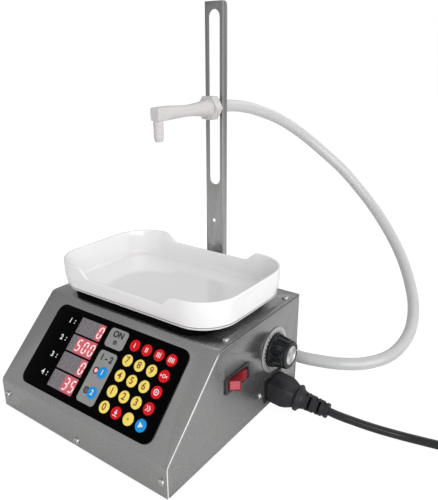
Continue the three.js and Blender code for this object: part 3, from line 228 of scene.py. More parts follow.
# The coil winds inwards on the table, climbs a layer in half a turn and winds outwards again.
COIL_MIDDLE, COIL_PITCH, COIL_RISE = 38.5, 7.7, 7.7
COIL_TURNS, COIL_CLIMB, COIL_STEPS, COIL_TAIL = 2.375, 0.5, 24, 7
heading = flat_way(lead_route)
coil_turns = 2 * COIL_TURNS + COIL_CLIMB
coil_outer = COIL_MIDDLE + COIL_PITCH * coil_turns / 4
to_centre = Vector((-heading.y, heading.x, 0))
coil_centre = lead_route[-1] + heading * (LEAD_GAP + COIL_TAIL) + to_centre * coil_outer
coil_start = atan2(-to_centre.y, -to_centre.x)
for step in range(round(coil_turns * COIL_STEPS) + 1):
    turn = step / COIL_STEPS
    climb = min(max((turn - COIL_TURNS) / COIL_CLIMB, 0), 1)
    radius = coil_outer - COIL_PITCH * (min(turn, coil_turns / 2) - max(0, turn - coil_turns / 2))
    angle = coil_start + 2 * pi * turn
    lead_route.append(Vector((coil_centre.x + radius * cos(angle), coil_centre.y + radius * sin(angle),
                              LEAD_RADIUS + COIL_RISE * eased(climb))))
leaving = flat_way(lead_route)
lead_route.append(lead_route[-1] + leaving * COIL_TAIL)

lead_curve = bpy.data.curves.new("mains_lead", "CURVE")
lead_curve.dimensions, lead_curve.use_fill_caps = "3D", True
lead_curve.bevel_depth, lead_curve.bevel_resolution, lead_curve.resolution_u = LEAD_RADIUS / 1000, 6, 5
knots = lead_curve.splines.new("BEZIER").bezier_points
knots.add(len(lead_route) - 1)
for knot, point in zip(knots, lead_route):
    knot.co = place(*point)
    knot.handle_left_type = knot.handle_right_type = "AUTO"
lead_curve.materials.append(lead_sheath)
mains_lead = add_object("mains_lead", lead_curve)
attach(mains_lead, "base")
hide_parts("mains_cord", "cord_coil")


# Plug. A moulded black body with finger hollows, two flat blades and a round earth pin, all of one
# moulding with the end of the lead. It lies on its side next to the coil.
def circle(radius, sides):
    """The points of a circle, across and up."""
    return [(radius * cos(2 * pi * i / sides), radius * sin(2 * pi * i / sides)) for i in range(sides)]


class Form:
    """Gathers closed shells into one mesh, each with its own material number."""

    def __init__(self):
        self.points, self.faces, self.inks = [], [], []

    def add(self, points, faces, ink=0):
        """Adds points and the faces between them."""
        start = len(self.points)
        self.points.extend(points)
        self.faces.extend(tuple(start + i for i in face) for face in faces)
        self.inks.extend([ink] * len(faces))

    def skin(self, rings, ink=0, loop=False):
        """Skins rings of points, each with as many points as the next, into a closed shell."""
        count, total = len(rings[0]), len(rings) * len(rings[0])
        faces = []
        for near in range(0, total if loop else total - count, count):
            far = (near + count) % total
            faces += [(near + i, near + (i + 1) % count, far + (i + 1) % count, far + i) for i in range(count)]
        if not loop:
            faces += [range(count)[::-1], range(total - count, total)]
        self.add([point for ring in rings for point in ring], faces, ink)

    def block(self, low, high, ink=0, matrix=Matrix()):
        """A box between two corners."""
        (x0, y0, z0), (x1, y1, z1) = low, high
        self.skin([[matrix @ Vector((x, y, z)) for x, y in ((x0, y0), (x1, y0), (x1, y1), (x0, y1))]
                   for z in (z0, z1)], ink)

    def turning(self, profile, matrix, sides, ink=0):
        """A turned shell from pairs of radius and distance along the matrix's Z."""
        self.skin([[matrix @ Vector((x, y, along)) for x, y in circle(reach, sides)] for reach, along in profile], ink)

    def mesh(self, name, matrix=Matrix(), weld=1e-7):
        """The mesh of all shells, with every face turned outwards."""
        made = bpy.data.meshes.new(name)
        made.from_pydata([tuple(matrix @ p) for p in self.points], [], self.faces)
        made.polygons.foreach_set("material_index", self.inks)
        shape = bmesh.new()
        shape.from_mesh(made)
        bmesh.ops.remove_doubles(shape, verts=shape.verts, dist=weld)
        bmesh.ops.dissolve_degenerate(shape, dist=weld, edges=shape.edges)
        bmesh.ops.recalc_face_normals(shape, faces=shape.faces)
        shape.to_mesh(made)
        shape.free()
        return made


def to_case(matrix=Matrix()):
    """A matrix that takes millimetres from the front middle of the case to metres in the frame."""
    return Matrix.Translation(CASE_FRONT_MIDDLE) @ Matrix.Scale(0.001, 4) @ matrix


def axes_at(origin, *axes):
    """A matrix with its origin and its three axes as given."""
    matrix = Matrix(axes).transposed().to_4x4()
    matrix.translation = origin
    return matrix


def fit_piece(name, shape, materials, slot, body="base", stands_for=None, edge=0.0, segments=2, crease=35,
              at=to_case()):
    """Adds a form or mesh to the machine: its materials, its edge rounding in millimetres and its body."""
    mesh = shape.mesh(name, at) if isinstance(shape, Form) else shape
    piece = add_object(name, mesh)
    for number, material in enumerate(materials):
        if number < len(mesh.materials):
            mesh.materials[number] = material
        else:
            mesh.materials.append(material)
    mesh.shade_smooth()
    if edge:
        rounding = piece.modifiers.new("edges", "BEVEL")
        rounding.width, rounding.segments = edge / 1000, segments
        rounding.limit_method, rounding.angle_limit = "ANGLE", radians(crease)
        rounding.harden_normals = rounding.use_clamp_overlap = True
    else:
        mesh.set_sharp_from_angle(angle=radians(crease))
    if body:
        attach(piece, body)
    if stands_for:
        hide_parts(stands_for)
    return piece


def soft_square(half_width, half_height, round_share, sides=40, corner=0.16):
    """A section between a rectangle and an oval, as points across and up."""
    points = []
    for i in range(sides):
        angle = 2 * pi * (i + 0.5) / sides
        u, v = cos(angle), sin(angle)
        reach = round_share + (1 - round_share) / max(abs(u), abs(v))
        limit = 1 - corner * (1 - round_share) * (1 - abs(abs(u) - abs(v)))
        points.append((u * reach * half_width * limit, v * reach * half_height * limit))
    return points


# Its edges turn lighter: painted highlight along the creases and edges of the moulding.
moulded_black = finish("moulded_black", (0.011, 0.0115, 0.014), (0.019, 0.0195, 0.023), 0.36, 0.52, 1600, 40, 0.35,
                       edge_light_and_wear=(0.085, 0.085, 0.09), wear=0.55, Specular_IOR_Level=0.35)
nickel = finish("nickel", (0.55, 0.53, 0.48), (0.66, 0.64, 0.6), 0.18, 0.3, 500, 6, stretch=(1, 1, 6), Metallic=1.0)
plug_form = Form()
PLUG_SECTIONS = ((0, 3.8, 3.8, 1), (6, 4.1, 4.1, 1), (20, 5.2, 5.2, 1), (24, 7.6, 7.2, 0.8), (28.5, 11.5, 10.45, 0.5),
                 (33, 11.4, 10.6, 0.42), (38, 11.0, 10.7, 0.38), (43, 11.6, 10.9, 0.36), (46, 12.5, 11, 0.35),
                 (53.4, 12.5, 11, 0.35), (54, 12.1, 10.6, 0.35))
plug_form.skin([[Vector((u, v, along)) for u, v in soft_square(*section)] for along, *section in PLUG_SECTIONS])
for along in (8.5, 12.5, 16.5):
    plug_form.turning([(3.4, along - 1.1), (5.3, along - 0.8), (5.3, along + 0.8), (3.4, along + 1.1)], Matrix(), 28)
for side in (-6.3, 6.3):
    plug_form.block((side - 0.75, -0.6, 52), (side + 0.75, 5.6, 69.5), 1)
    plug_form.block((side - 0.5, 0.2, 69.4), (side + 0.5, 4.8, 70.9), 1)
plug_form.turning([(2.4, 52), (2.4, 72), (2.1, 73.2), (1.2, 74)], Matrix.Translation((0, -5.5, 0)), 24, 1)
UP = Vector((0, 0, 1))
plug_place = axes_at(lead_route[-1] + leaving * LEAD_GAP, UP.cross(leaving), UP, leaving)
mains_plug = fit_piece("mains_plug_body", plug_form, [moulded_black, nickel], "cord_rubber", stands_for="mains_plug",
                       edge=0.25, at=to_case(plug_place))

# A black nylon tie holds the coil: a flat band round three turns in two layers, with its head and tail.
TIE_TURN, TIE_HALF_WIDTH, TIE_THICKNESS, TIE_UNDER = 0.125, 1.3, 0.7, 0.22
tie_in, tie_out = (coil_outer - COIL_PITCH * (TIE_TURN + turn) + side * LEAD_RADIUS for turn, side in ((2, -1), (0, 1)))
tie_top = 2 * LEAD_RADIUS + COIL_RISE
tie_place = (Matrix.Translation(coil_centre * Vector((1, 1, 0)))
             @ Matrix.Rotation(coil_start + 2 * pi * TIE_TURN, 4, "Z"))
band_path = [(tie_in - 0.1, 3.0), (tie_in - 0.1, tie_top - 3.2), (tie_in + 1.0, tie_top - 0.9),
             (tie_in + 3.2, tie_top + 0.1), (tie_out - 3.2, tie_top + 0.1), (tie_out - 1.0, tie_top - 0.9),
             (tie_out + 0.1, tie_top - 3.2), (tie_out + 0.1, 3.0), (tie_out - 1.0, 0.9), (tie_out - 3.2, -0.02),
             (tie_in + 3.2, -0.02), (tie_in + 1.0, 0.9)]
band_middle = Vector(((tie_in + tie_out) / 2, tie_top / 2))
band_rings = []
for i, (r, z) in enumerate(band_path):
    run = (Vector(band_path[(i + 1) % len(band_path)]) - Vector(band_path[i - 1])).normalized()
    out = Vector((run.y, -run.x))
    out = out if out.dot(Vector((r, z)) - band_middle) > 0 else -out
    thick = TIE_THICKNESS if z > 0 else TIE_UNDER
    band_rings.append([tie_place @ Vector((r + out.x * t, w, z + out.y * t)) for t, w in (
        (0, -TIE_HALF_WIDTH), (thick, -TIE_HALF_WIDTH), (thick, TIE_HALF_WIDTH), (0, TIE_HALF_WIDTH))])
tie_form = Form()
tie_form.skin(band_rings, loop=True)
tie_form.block((tie_out - 8.5, -2.3, tie_top + 0.3), (tie_out - 3.5, 2.3, tie_top + 3.6), matrix=tie_place)
tie_form.skin([[tie_place @ Vector((tie_out - 6 - bend, w, tie_top + rise + t))
                for w, t in ((-1.2, -0.5), (1.2, -0.5), (1.2, 0.5), (-1.2, 0.5))]
               for bend, rise in ((0, 3.2), (0.4, 5), (1.6, 6.8), (3.4, 8.2), (5.4, 9.0))])
lead_tie = fit_piece("lead_tie", tie_form, [moulded_black], "cord_rubber", edge=0.12)


# Delivery hose. A clear-grey silicone tube, 10.8 mm outside and 6.8 mm inside. It is pushed over the
# nozzle's rear barb, arches down behind the machine and comes back to the outlet barb on the side.
def smooth_line(points, steps):
    """A smooth line through points that doesn't swing out at uneven spacing."""
    ends = [points[0] * 2 - points[1], *points, points[-1] * 2 - points[-2]]
    line = []
    for a, b, c, d in zip(ends, ends[1:], ends[2:], ends[3:]):
        t1 = (b - a).length ** 0.5
        t2 = t1 + (c - b).length ** 0.5
        t3 = t2 + (d - c).length ** 0.5
        for k in range(steps):
            t = t1 + (t2 - t1) * k / steps
            ab, bc, cd = a.lerp(b, t / t1), b.lerp(c, (t - t1) / (t2 - t1)), c.lerp(d, (t - t2) / (t3 - t2))
            near, far = ab.lerp(bc, t / t2), bc.lerp(cd, (t - t1) / (t3 - t1))
            line.append(near.lerp(far, (t - t1) / (t2 - t1)))
    return line + [points[-1]]


def rings_along(line, section):
    """Sections square to a line, turned no more than the line turns."""
    rings, up = [], UP
    for i, point in enumerate(line):
        along = (line[min(i + 1, len(line) - 1)] - line[max(i - 1, 0)]).normalized()
        up = (up - along * up.dot(along)).normalized()
        side = along.cross(up)
        rings.append([point + side * u + up * v for u, v in section])
    return rings


HOSE_RADIUS, HOSE_BORE, HOSE_SIDES, HOSE_STEPS = 5.4, 3.4, 28, 9
hose_route = [Vector(point) for point in (
    (0, 191.6, 248.7), (0, 201, 248.7), (0.4, 214, 248.1), (1.4, 230.6, 245.9), (3.9, 249.4, 241.8),
    (13.1, 281.9, 229.9), (26.3, 306.8, 213.4), (42.5, 324.2, 194.7), (61.5, 335.5, 175.6), (81.3, 340, 155.2),
    (101.8, 338.5, 135.1), (121.9, 330.8, 115.4), (140.9, 317.2, 96.7), (157.5, 297.8, 79.3),
    (170.9, 273.2, 63.8), (177.2, 243.4, 50.6), (172.3, 213.5, 41.7), (157.7, 192, 38.6), (139.1, 178.7, 38.1),
    (118.5, 171.4, 38), (108, 169.6, 37.7), (98.8, 169.5, 37.7))]
hose_line = smooth_line(hose_route, HOSE_STEPS)
outside, inside = (rings_along(hose_line, circle(radius, HOSE_SIDES)) for radius in (HOSE_RADIUS, HOSE_BORE))
hose_form = Form()
hose_form.skin(outside + inside[::-1], loop=True)
silicone = finish("silicone", (0.515, 0.525, 0.52), (0.565, 0.57, 0.565), 0.14, 0.24, 160, 10, 0.03,
                  Coat_Weight=0.6, Coat_Roughness=0.06, IOR=1.41)
delivery_hose = fit_piece("hose", hose_form, [silicone], "silicone", body=None, stands_for="delivery_hose")
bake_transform(delivery_hose)
hose_length = sum((b - a).length for a, b in zip(hose_line, hose_line[1:])) / 1000
[place(*point) for point in hose_line[::-1]]


# Connector. The moulded black socket of the lead, pushed into the inlet: a square grip that tapers to
# a round stop flange, and a strain relief of five rings joined by crossed bridges. The core between
# the rings is near black: painted shade in the gaps.
GRIP_START, GRIP_LENGTH, GRIP_SAG = Vector((95.5, 140.2, 19.6)), 24.5, 2.2
GRIP_SECTIONS = ((-3, 11.6, 7.8, 0.06), (0, 13.0, 10.0, 0.05), (0.8, 13.25, 10.25, 0.05), (6, 13.3, 10.4, 0.05),
                 (13, 13.3, 10.4, 0.08), (17, 12.1, 9.9, 0.22), (21, 10.3, 8.9, 0.45), (24.5, 8.5, 8.0, 0.8))
# Near-black core of the strain relief: painted shade between its rings.
relief_core_shade = finish("relief_core_shade", (0.0015, 0.0015, 0.0018), (0.003, 0.003, 0.0035), 0.6, 0.8, 900, 30,
                    Specular_IOR_Level=0.05)
connector_form = Form()
connector_form.skin([
    [GRIP_START + Vector((along, u, v - GRIP_SAG * max(along, 0) / GRIP_LENGTH))
     for u, v in soft_square(*section, 48, 0.1)] for along, *section in GRIP_SECTIONS])
relief_side = RELIEF_LINE.cross(UP)
relief_place = axes_at(RELIEF_START, relief_side.normalized(), relief_side.cross(RELIEF_LINE), RELIEF_LINE)
connector_form.turning([(7.6, -0.8), (10.6, 0.2), (11.4, 0.8), (11.6, 1.4), (11.6, 2.6), (11.2, 3.2), (9.6, 4.2),
                        (8.4, 5.4), (7.9, 6.8), (7.7, 8.3), (4.4, 8.5)], relief_place, 48)
connector_form.turning([(4.7, 8), (4.5, 28.9), (3.6, 28.9)], relief_place, 32, 1)
# Each ring's begin, end and radius, and where the two bridges before it stand and how far they spread.
RELIEF_RINGS = ((9.3, 11.7, 7.6, 25, 50), (13.6, 17.0, 7.3, 115, 32), (18.6, 20.1, 7.1, 25, 50),
                (21.9, 24.3, 6.8, 115, 32), (26.0, 29.0, 6.4, 25, 50))
RELIEF_CORE, before = 4.2, 8.3
for begin, end, reach, bridge_turn, bridge_spread in RELIEF_RINGS:
    connector_form.turning([(RELIEF_CORE, begin), (reach - 0.25, begin), (reach, begin + 0.25),
                            (reach - 0.05, end - 0.25), (reach - 0.3, end), (RELIEF_CORE, end)], relief_place, 40)
    for side in (0, 180):
        arc = [radians(bridge_turn + side + bridge_spread * k / 6) for k in range(-6, 7)]
        connector_form.skin([[relief_place @ Vector((r * cos(a), r * sin(a), along)) for r, along in (
            (RELIEF_CORE, before - 0.4), (reach + 0.05, before - 0.4), (reach - 0.15, begin + 0.4),
            (RELIEF_CORE, begin + 0.4))] for a in arc])
    before = end
fit_piece("lead_connector", connector_form, [moulded_black, relief_core_shade], "cord_rubber", stands_for="cord_connector",
          edge=0.22)


# Case. Three pieces of sheet steel, 1.2 mm thick, folded and painted satin grey: a cover of apron,
# slope and top, a chassis of floor and sides, and a rear panel. Screws hold them together.
SAME_POINT, NEARLY_FLAT = 2e-6, radians(0.6)


def dressed(node_name, name, materials, slot, edge=0.2, fold=None, fold_width=1.2, second=None, **fitting):
    """A copy of a part's solid with its flat faces made whole and its edges rounded. The edges that fold
    picks are rounded wider, and the faces that second picks take the second material."""
    source = frame["nodes"][node_name]
    shape = bmesh.new()
    shape.from_mesh(source.data)
    bmesh.ops.remove_doubles(shape, verts=shape.verts, dist=SAME_POINT)
    bmesh.ops.dissolve_degenerate(shape, dist=SAME_POINT / 2, edges=shape.edges)
    bmesh.ops.dissolve_limit(shape, angle_limit=NEARLY_FLAT, verts=shape.verts, edges=shape.edges)
    if fold:
        bmesh.ops.bevel(shape, geom=[e for e in shape.edges if len(e.link_faces) == 2 and fold(e)],
                        offset=fold_width / 1000, segments=5, affect="EDGES", profile=0.5, clamp_overlap=True)
    for face in shape.faces:
        face.material_index = int(bool(second and second(face)))
    mesh = bpy.data.meshes.new(name)
    shape.to_mesh(mesh)
    shape.free()
    return fit_piece(name, mesh, materials, slot, body=source["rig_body"], stands_for=node_name, edge=edge, **fitting)


CASE_HALF, APRON_TOP, TOP_Z = 94.0, 29.0, 91.0


def edge_line(edge):
    """The direction of an edge."""
    return (edge.verts[1].co - edge.verts[0].co).normalized()


def edge_middle(edge):
    """The middle of an edge."""
    return (edge.verts[0].co + edge.verts[1].co) / 2


def across_fold(edge):
    """An edge of the cover's folds: it runs along X and its faces meet at about 45 degrees."""
    return abs(edge_line(edge).x) > 0.999 and 30 < degrees(edge.calc_face_angle(0)) < 60


def cut_face(face):
    """A face of the cover's sheet where it was cut, towards either side of the case."""
    off = abs(face.calc_center_median().x - CASE_FRONT_MIDDLE.x) - CASE_HALF / 1000
    return abs(face.normal.x) > 0.99 and abs(off) < 0.0006


def side_fold(edge):
    """An edge where a side of the chassis folds in under the cover: along the apron, the slope or the top."""
    if not all(abs(abs(v.co.x - CASE_FRONT_MIDDLE.x) - CASE_HALF / 1000) < 0.0005 for v in edge.verts):
        return False
    _, y, z = (edge_middle(edge) - CASE_FRONT_MIDDLE) * 1000
    return 2 < z and min(y, TOP_Z - z, (y - (z - APRON_TOP)) / sqrt(2)) < 2.4 and y < 183


# Its edges turn light grey, partly as wear and partly as painted highlight along the folds and sheet edges.
case_steel = finish("case_steel", (0.328, 0.325, 0.323), (0.352, 0.349, 0.347), 0.25, 0.29, 1100, 15, 0.02,
                    edge_light_and_wear=(0.75, 0.75, 0.74), wear=0.8, Metallic=0.9)
# The sheet's cut faces: bare steel brightened as painted highlight, and near black towards the top as painted shadow in
# the seam.
cut_edge_highlight_and_shade = finish("cut_edge_highlight_and_shade", (0.82, 0.82, 0.81), (0.9, 0.9, 0.89), 0.3, 0.45, painted_shade_above=(0.0862, 0.0895, 1, 0.04),
                   Metallic=0.35)
dressed("cover", "cover_sheet", [case_steel, cut_edge_highlight_and_shade], "case_steel", 0.22, across_fold, 1.6, cut_face)
dressed("chassis", "chassis_sheet", [case_steel], "case_steel", 0.22, side_fold, 0.85)
dressed("rear_panel", "rear_sheet", [case_steel], "case_steel")
foot_rubber = finish("foot_rubber", (0.02, 0.02, 0.021), (0.03, 0.03, 0.031), 0.7, 0.85, 700, 80, 0.5)
for corner in ("front_left", "front_right", "rear_left", "rear_right"):
    dressed("foot_" + corner, "rubber_foot_" + corner, [foot_rubber], "foot_rubber", 0.4)


# Screws. Bright pan-head machine screws with a cross recess: two on each side of the top, three along
# the apron, two that hold the mains inlet, and two bolts that hold the bar to the rear panel.
def evaluated(holder):
    """What an object's modifiers or letters make, as a plain mesh."""
    bpy.context.view_layer.update()
    return bpy.data.meshes.new_from_object(holder.evaluated_get(bpy.context.evaluated_depsgraph_get()))


def grow(name, tree, sizes, start_mesh=None):
    """Runs a geometry tree on a start mesh with sizes set by the tree's own names, as a plain mesh."""
    holder = add_object(name + "_grown", start_mesh or bpy.data.meshes.new(name + "_start"))
    modifier = holder.modifiers.new(name, "NODES")
    modifier.node_group = tree
    for socket in tree.interface.items_tree:
        if socket.item_type == "SOCKET" and socket.in_out == "INPUT" and socket.name in sizes:
            modifier[socket.identifier] = sizes[socket.name]
    grown = evaluated(holder)
    grown.name = name
    bpy.data.objects.remove(holder)
    return grown


def geometry_group(name, inputs):
    """A geometry node group that takes a geometry with named values and gives one back."""
    return new_group(name, "GeometryNodeTree", (("Geometry", "Geometry"), *inputs), (("Geometry", "Geometry"),))


def set_on_points(add, points, instance, rotation, scale, material):
    """Sets an instance on every point, makes it real and gives it its material."""
    put = add("GeometryNodeInstanceOnPoints", points, Instance=instance, Rotation=rotation, Scale=scale)
    return add("GeometryNodeSetMaterial", add("GeometryNodeRealizeInstances", put), Material=material)


# A screw head on every point, facing as the point's own direction says, each turned at random.
SCREW_TREE, add, given = geometry_group("screw_set", (
    ("Screw", "Object"), ("Head size", "Float", 1.0), ("Turn seed", "Int", 7), ("Material", "Material")))
facing = add("GeometryNodeInputNamedAttribute", "facing", data_type="FLOAT_VECTOR")
spun = add("FunctionNodeRandomValue", Min=0.0, Max=pi, Seed=given["Turn seed"], data_type="FLOAT")
aimed = add("FunctionNodeRotateRotation", add("FunctionNodeAlignRotationToVector", Vector=facing, axis="Z"),
            add("CombineXYZ", Z=spun), rotation_space="LOCAL")
head = add("GeometryNodeObjectInfo", given["Screw"], transform_space="ORIGINAL").outputs["Geometry"]
add("NodeGroupOutput", set_on_points(add, given["Geometry"], head, aimed, given["Head size"], given["Material"]))

# One pan head in metres, its face towards +Z, with a cross-shaped recess cut in.
HEAD_RADIUS, HEAD_HEIGHT, CROSS_ARM, CROSS_HALF, CROSS_DEPTH = 2.9, 1.5, 1.5, 0.38, 0.8
head_form, cross_form = Form(), Form()
head_form.turning([(0.6 * HEAD_RADIUS, -0.3), (HEAD_RADIUS, -0.3), (HEAD_RADIUS, 0.45), (0.96 * HEAD_RADIUS, 0.8),
                   (0.8 * HEAD_RADIUS, 1.2), (0.5 * HEAD_RADIUS, HEAD_HEIGHT)], Matrix(), 32)
for x, y in ((CROSS_ARM, CROSS_HALF), (CROSS_HALF, CROSS_ARM)):
    cross_form.block((-x, -y, HEAD_HEIGHT - CROSS_DEPTH), (x, y, HEAD_HEIGHT + 1))
screw_head, cross = (add_object(name, form.mesh(name, Matrix.Scale(0.001, 4)))
                     for name, form in (("screw_head", head_form), ("screw_recess", cross_form)))
carve = screw_head.modifiers.new("recess", "BOOLEAN")
carve.object, carve.operation, carve.solver, carve.use_self = cross, "DIFFERENCE", "EXACT", True
carved = evaluated(screw_head)
screw_head.modifiers.clear()
screw_head.data = carved
bpy.data.objects.remove(cross)

bright_steel = finish("bright_steel", (0.5, 0.5, 0.49), (0.62, 0.62, 0.61), 0.16, 0.32, Metallic=1.0)
BAR_BACK, INLET_Z = 185.8, 19.6
case_screws = [((x, y, TOP_Z), (0, 0, 1)) for x in (-88, 88) for y in (77.5, 169.3)]
case_screws += [((x, 0, z), (0, -1, 0)) for x, z in ((-88.5, 15.3), (0, 8.0), (88.5, 15.3))]
inlet_screws = [((CASE_HALF, y, INLET_Z), (1, 0, 0)) for y in (120.2, 160.2)]
bar_bolts = [((0, BAR_BACK, z), (0, 1, 0)) for z in (40, 70)]
for name, places, size in (("case_screws", case_screws, 1.0), ("inlet_screws", inlet_screws, 0.95),
                           ("bar_bolts", bar_bolts, 1.25)):
    points = bpy.data.meshes.new(name + "_places")
    points.from_pydata([tuple(place(*point)) for point, _ in places], [], [])
    direction = points.attributes.new("facing", "FLOAT_VECTOR", "POINT")
    direction.data.foreach_set("vector", [x for _, way in places for x in way])
    heads = grow(name, SCREW_TREE, {"Screw": screw_head, "Head size": size, "Material": bright_steel}, points)
    fit_piece(name, heads, [bright_steel], "bar_steel", edge=0.06, crease=50)
bpy.data.objects.remove(screw_head)


# Key panel. A black glossy film over the slope, printed with two grey fields, white row numbers and
# lamp rings. The digits stand behind four clear windows, and the keys come up through round holes.
PANEL_ANGLE, FILM_TOP, INK_THICKNESS, CAPITAL_SHARE = radians(45), 1.1, 0.02, 0.73
to_panel = to_case(Matrix.Translation((0, 0, APRON_TOP)) @ Matrix.Rotation(PANEL_ANGLE, 4, "X"))
overlay_film = finish("overlay_film", (0.0005, 0.0005, 0.0007), (0.001, 0.001, 0.0013), 0.3, 0.42, 2400,
                      strength=0.15, Specular_IOR_Level=0.02)
dressed("panel_overlay", "overlay", [overlay_film], "overlay_film", 0.12)


def letters(text, height, matrix, bold=0.0):
    """A word or number as flat printed shapes: the points and faces of its capitals."""
    curve = bpy.data.curves.new("print", "FONT")
    curve.body, curve.size, curve.align_x, curve.align_y = text, height / CAPITAL_SHARE, "CENTER", "CENTER"
    curve.offset, curve.extrude, curve.resolution_u = bold, INK_THICKNESS / 2, 6
    holder = add_object("print", curve)
    mesh = evaluated(holder)
    bpy.data.objects.remove(holder)
    printed = [matrix @ v.co for v in mesh.vertices], [tuple(p.vertices) for p in mesh.polygons]
    bpy.data.meshes.remove(mesh)
    return printed


def patch(outline, level=0):
    """A printed patch: the points and faces of an outline pushed up a little from its level."""
    count = len(outline)
    points = [Vector((x, y, z)) for z in (level, level + INK_THICKNESS) for x, y in outline]
    sides = [(i, (i + 1) % count, count + (i + 1) % count, count + i) for i in range(count)]
    return points, [range(count)[::-1], range(count, 2 * count), *sides]


def rounded_patch(x0, y0, x1, y1, radius=3.2, steps=8):
    """The outline of a rectangle with round corners."""
    outline = []
    for cx, cy, start in ((x1 - radius, y0 + radius, -90), (x1 - radius, y1 - radius, 0),
                          (x0 + radius, y1 - radius, 90), (x0 + radius, y0 + radius, 180)):
        for k in range(steps + 1):
            angle = radians(start + 90 * k / steps)
            outline.append((cx + radius * cos(angle), cy + radius * sin(angle)))
    return outline


grey_print = finish("grey_print", 0.25, 0.29, 0.35, 0.5, 2400, strength=0.15)
white_print = finish("white_print", 0.78, 0.86, 0.4, 0.5, 2000, 5)
dark_print_and_shade = finish("dark_print_and_shade", (0.004, 0.004, 0.005), (0.008, 0.008, 0.009), 0.4, 0.5, 2000, 5)
PUMP_FIELD, MODE_FIELD = (-7.6, 59.5, 12.5, 75.6), (-7.4, 12.9, 12.1, 56)
field_form, white_form, dark_form = Form(), Form(), Form()
for field in (PUMP_FIELD, MODE_FIELD):
    field_form.add(*patch(rounded_patch(*field), FILM_TOP))
fit_piece("grey_fields", field_form, [grey_print], "overlay_film", at=to_panel)

# Row numbers stand to the left of the windows, and a lamp number over each grey field.
WINDOW_LEFT, WINDOW_WIDTH, WINDOW_HEIGHT, WINDOW_LOW, WINDOW_PITCH, WINDOWS = -43.3, 30.2, 14.5, 12.6, 15.75, 4
ROW_NUMBER_X, ROW_DOTS_X, LAMP_NUMBER_X = -53.5, -48.2, 2.4
window_lows = [WINDOW_LOW + (WINDOWS - 1 - row) * WINDOW_PITCH for row in range(WINDOWS)]
for row, low in enumerate(window_lows):
    middle = low + 0.55 * WINDOW_HEIGHT
    white_form.add(*letters(str(row + 1), 4.6, Matrix.Translation((ROW_NUMBER_X, middle, FILM_TOP)), 0.16))
    for lift in (-1.1, 1.1):
        white_form.add(*patch([(ROW_DOTS_X + x, middle + lift + y) for x, y in circle(0.55, 12)], FILM_TOP))
for text, up in (("ON", 71.0), ("1 - 2", 50.4)):
    dark_form.add(*letters(text, 5.2, Matrix.Translation((LAMP_NUMBER_X, up, FILM_TOP + INK_THICKNESS)), 0.3))
fit_piece("white_marks", white_form, [white_print], "overlay_film", at=to_panel)
fit_piece("dark_marks", dark_form, [dark_print_and_shade], "overlay_film", at=to_panel)

# Lamps are small round lenses in dark rings. The one beside the upper blue key is lit.
LAMPS = ((2.4, 64.5, 0.8, False), (-1.9, 39.1, 1.2, True), (-1.6, 22.7, 1.2, False))
lamp_ring = finish("lamp_ring", (0.03, 0.02, 0.03), (0.05, 0.035, 0.045), 0.25, 0.35, 1500, 5)
lamp_dark = finish("lamp_dark", (0.10, 0.085, 0.10), (0.14, 0.12, 0.14), 0.12, 0.2, 1500, 5)
lamp_lit = finish("lamp_lit", (0.8, 0.35, 0.35), (0.9, 0.5, 0.5), 0.12, 0.2, 1500, 5,
                  Emission_Color=(1.0, 0.35, 0.35, 1), Emission_Strength=0.35)
lamp_form = Form()
for x, y, size, lit in LAMPS:
    spot = Matrix.Translation((x, y, FILM_TOP))
    for profile, sides, ink in ((((2.4, 0), (2.4, 0.12), (1.45, 0.12), (1.45, 0)), 28, 0),
                                (((1.45, 0), (1.45, 0.1), (1.1, 0.3), (0.5, 0.42)), 24, 2 if lit else 1)):
        lamp_form.turning([(reach * size, up) for reach, up in profile], spot, sides, ink)
fit_piece("lamps", lamp_form, [lamp_ring, lamp_dark, lamp_lit], "overlay_film", at=to_panel)


# Displays. Four red number displays of four digits, one above the other, soldered to the board behind
# the film. A lit digit turns its part of the smoky face red, and the unlit digits show faintly.
board_green = finish("board_green", (0.02, 0.09, 0.045), (0.03, 0.13, 0.065), 0.3, 0.45, 600, 20)
dressed("display_board", "display_modules", [board_green], "circuit_board", 0)
DIGITS, DIGIT_HEIGHT, DIGIT_WIDTH, DIGIT_STROKE, DIGIT_SLANT, DIGIT_GAP = 4, 9.2, 3.9, 1.2, radians(7), 0.35
FACE_LOW, FACE_LEVEL, FACE_GAP = -0.49, 0.35, 0.15
SEGMENTS_OF = {"0": "abcdef", "3": "abcdg", "5": "acdfg", " ": ""}
READINGS = ("   0", " 500", "   0", "  35")
face_smoky = finish("face_smoky", (0.185, 0.165, 0.182), (0.225, 0.205, 0.222), 0.3, 0.42, 1800)
face_red = finish("face_red", (0.50, 0.085, 0.115), (0.60, 0.125, 0.16), 0.3, 0.42, 1800,
                  Emission_Color=(1.0, 0.2, 0.25, 1), Emission_Strength=0.08)
segment_dull = finish("segment_dull", (0.125, 0.115, 0.125), (0.15, 0.14, 0.15), 0.3, 0.4, 1800)
segment_lit = finish("segment_lit", (0.95, 0.62, 0.62), (1.0, 0.72, 0.72), 0.3, 0.4, 1800,
                     Emission_Color=(1.0, 0.55, 0.55, 1), Emission_Strength=0.5)

# A six-sided bar on every point, turned and sized by the point's own values.
SEGMENT_TREE, add, given = geometry_group("digit_segments", (
    ("Stroke", "Float", 0.001), ("Thickness", "Float", 0.00003), ("Dull", "Material"), ("Lit", "Material")))
bar = add("GeometryNodeMeshCylinder", 6, Radius=given["Stroke"], Depth=given["Thickness"], fill_type="NGON")
size, turn, lit = (add("GeometryNodeInputNamedAttribute", label, data_type=kind)
                   for label, kind in (("size", "FLOAT_VECTOR"), ("turn", "FLOAT_VECTOR"), ("lit", "BOOLEAN")))
dull_bars = set_on_points(add, given["Geometry"], bar, turn, size, given["Dull"])
add("NodeGroupOutput", add("GeometryNodeSetMaterial", dull_bars, lit, given["Lit"]))

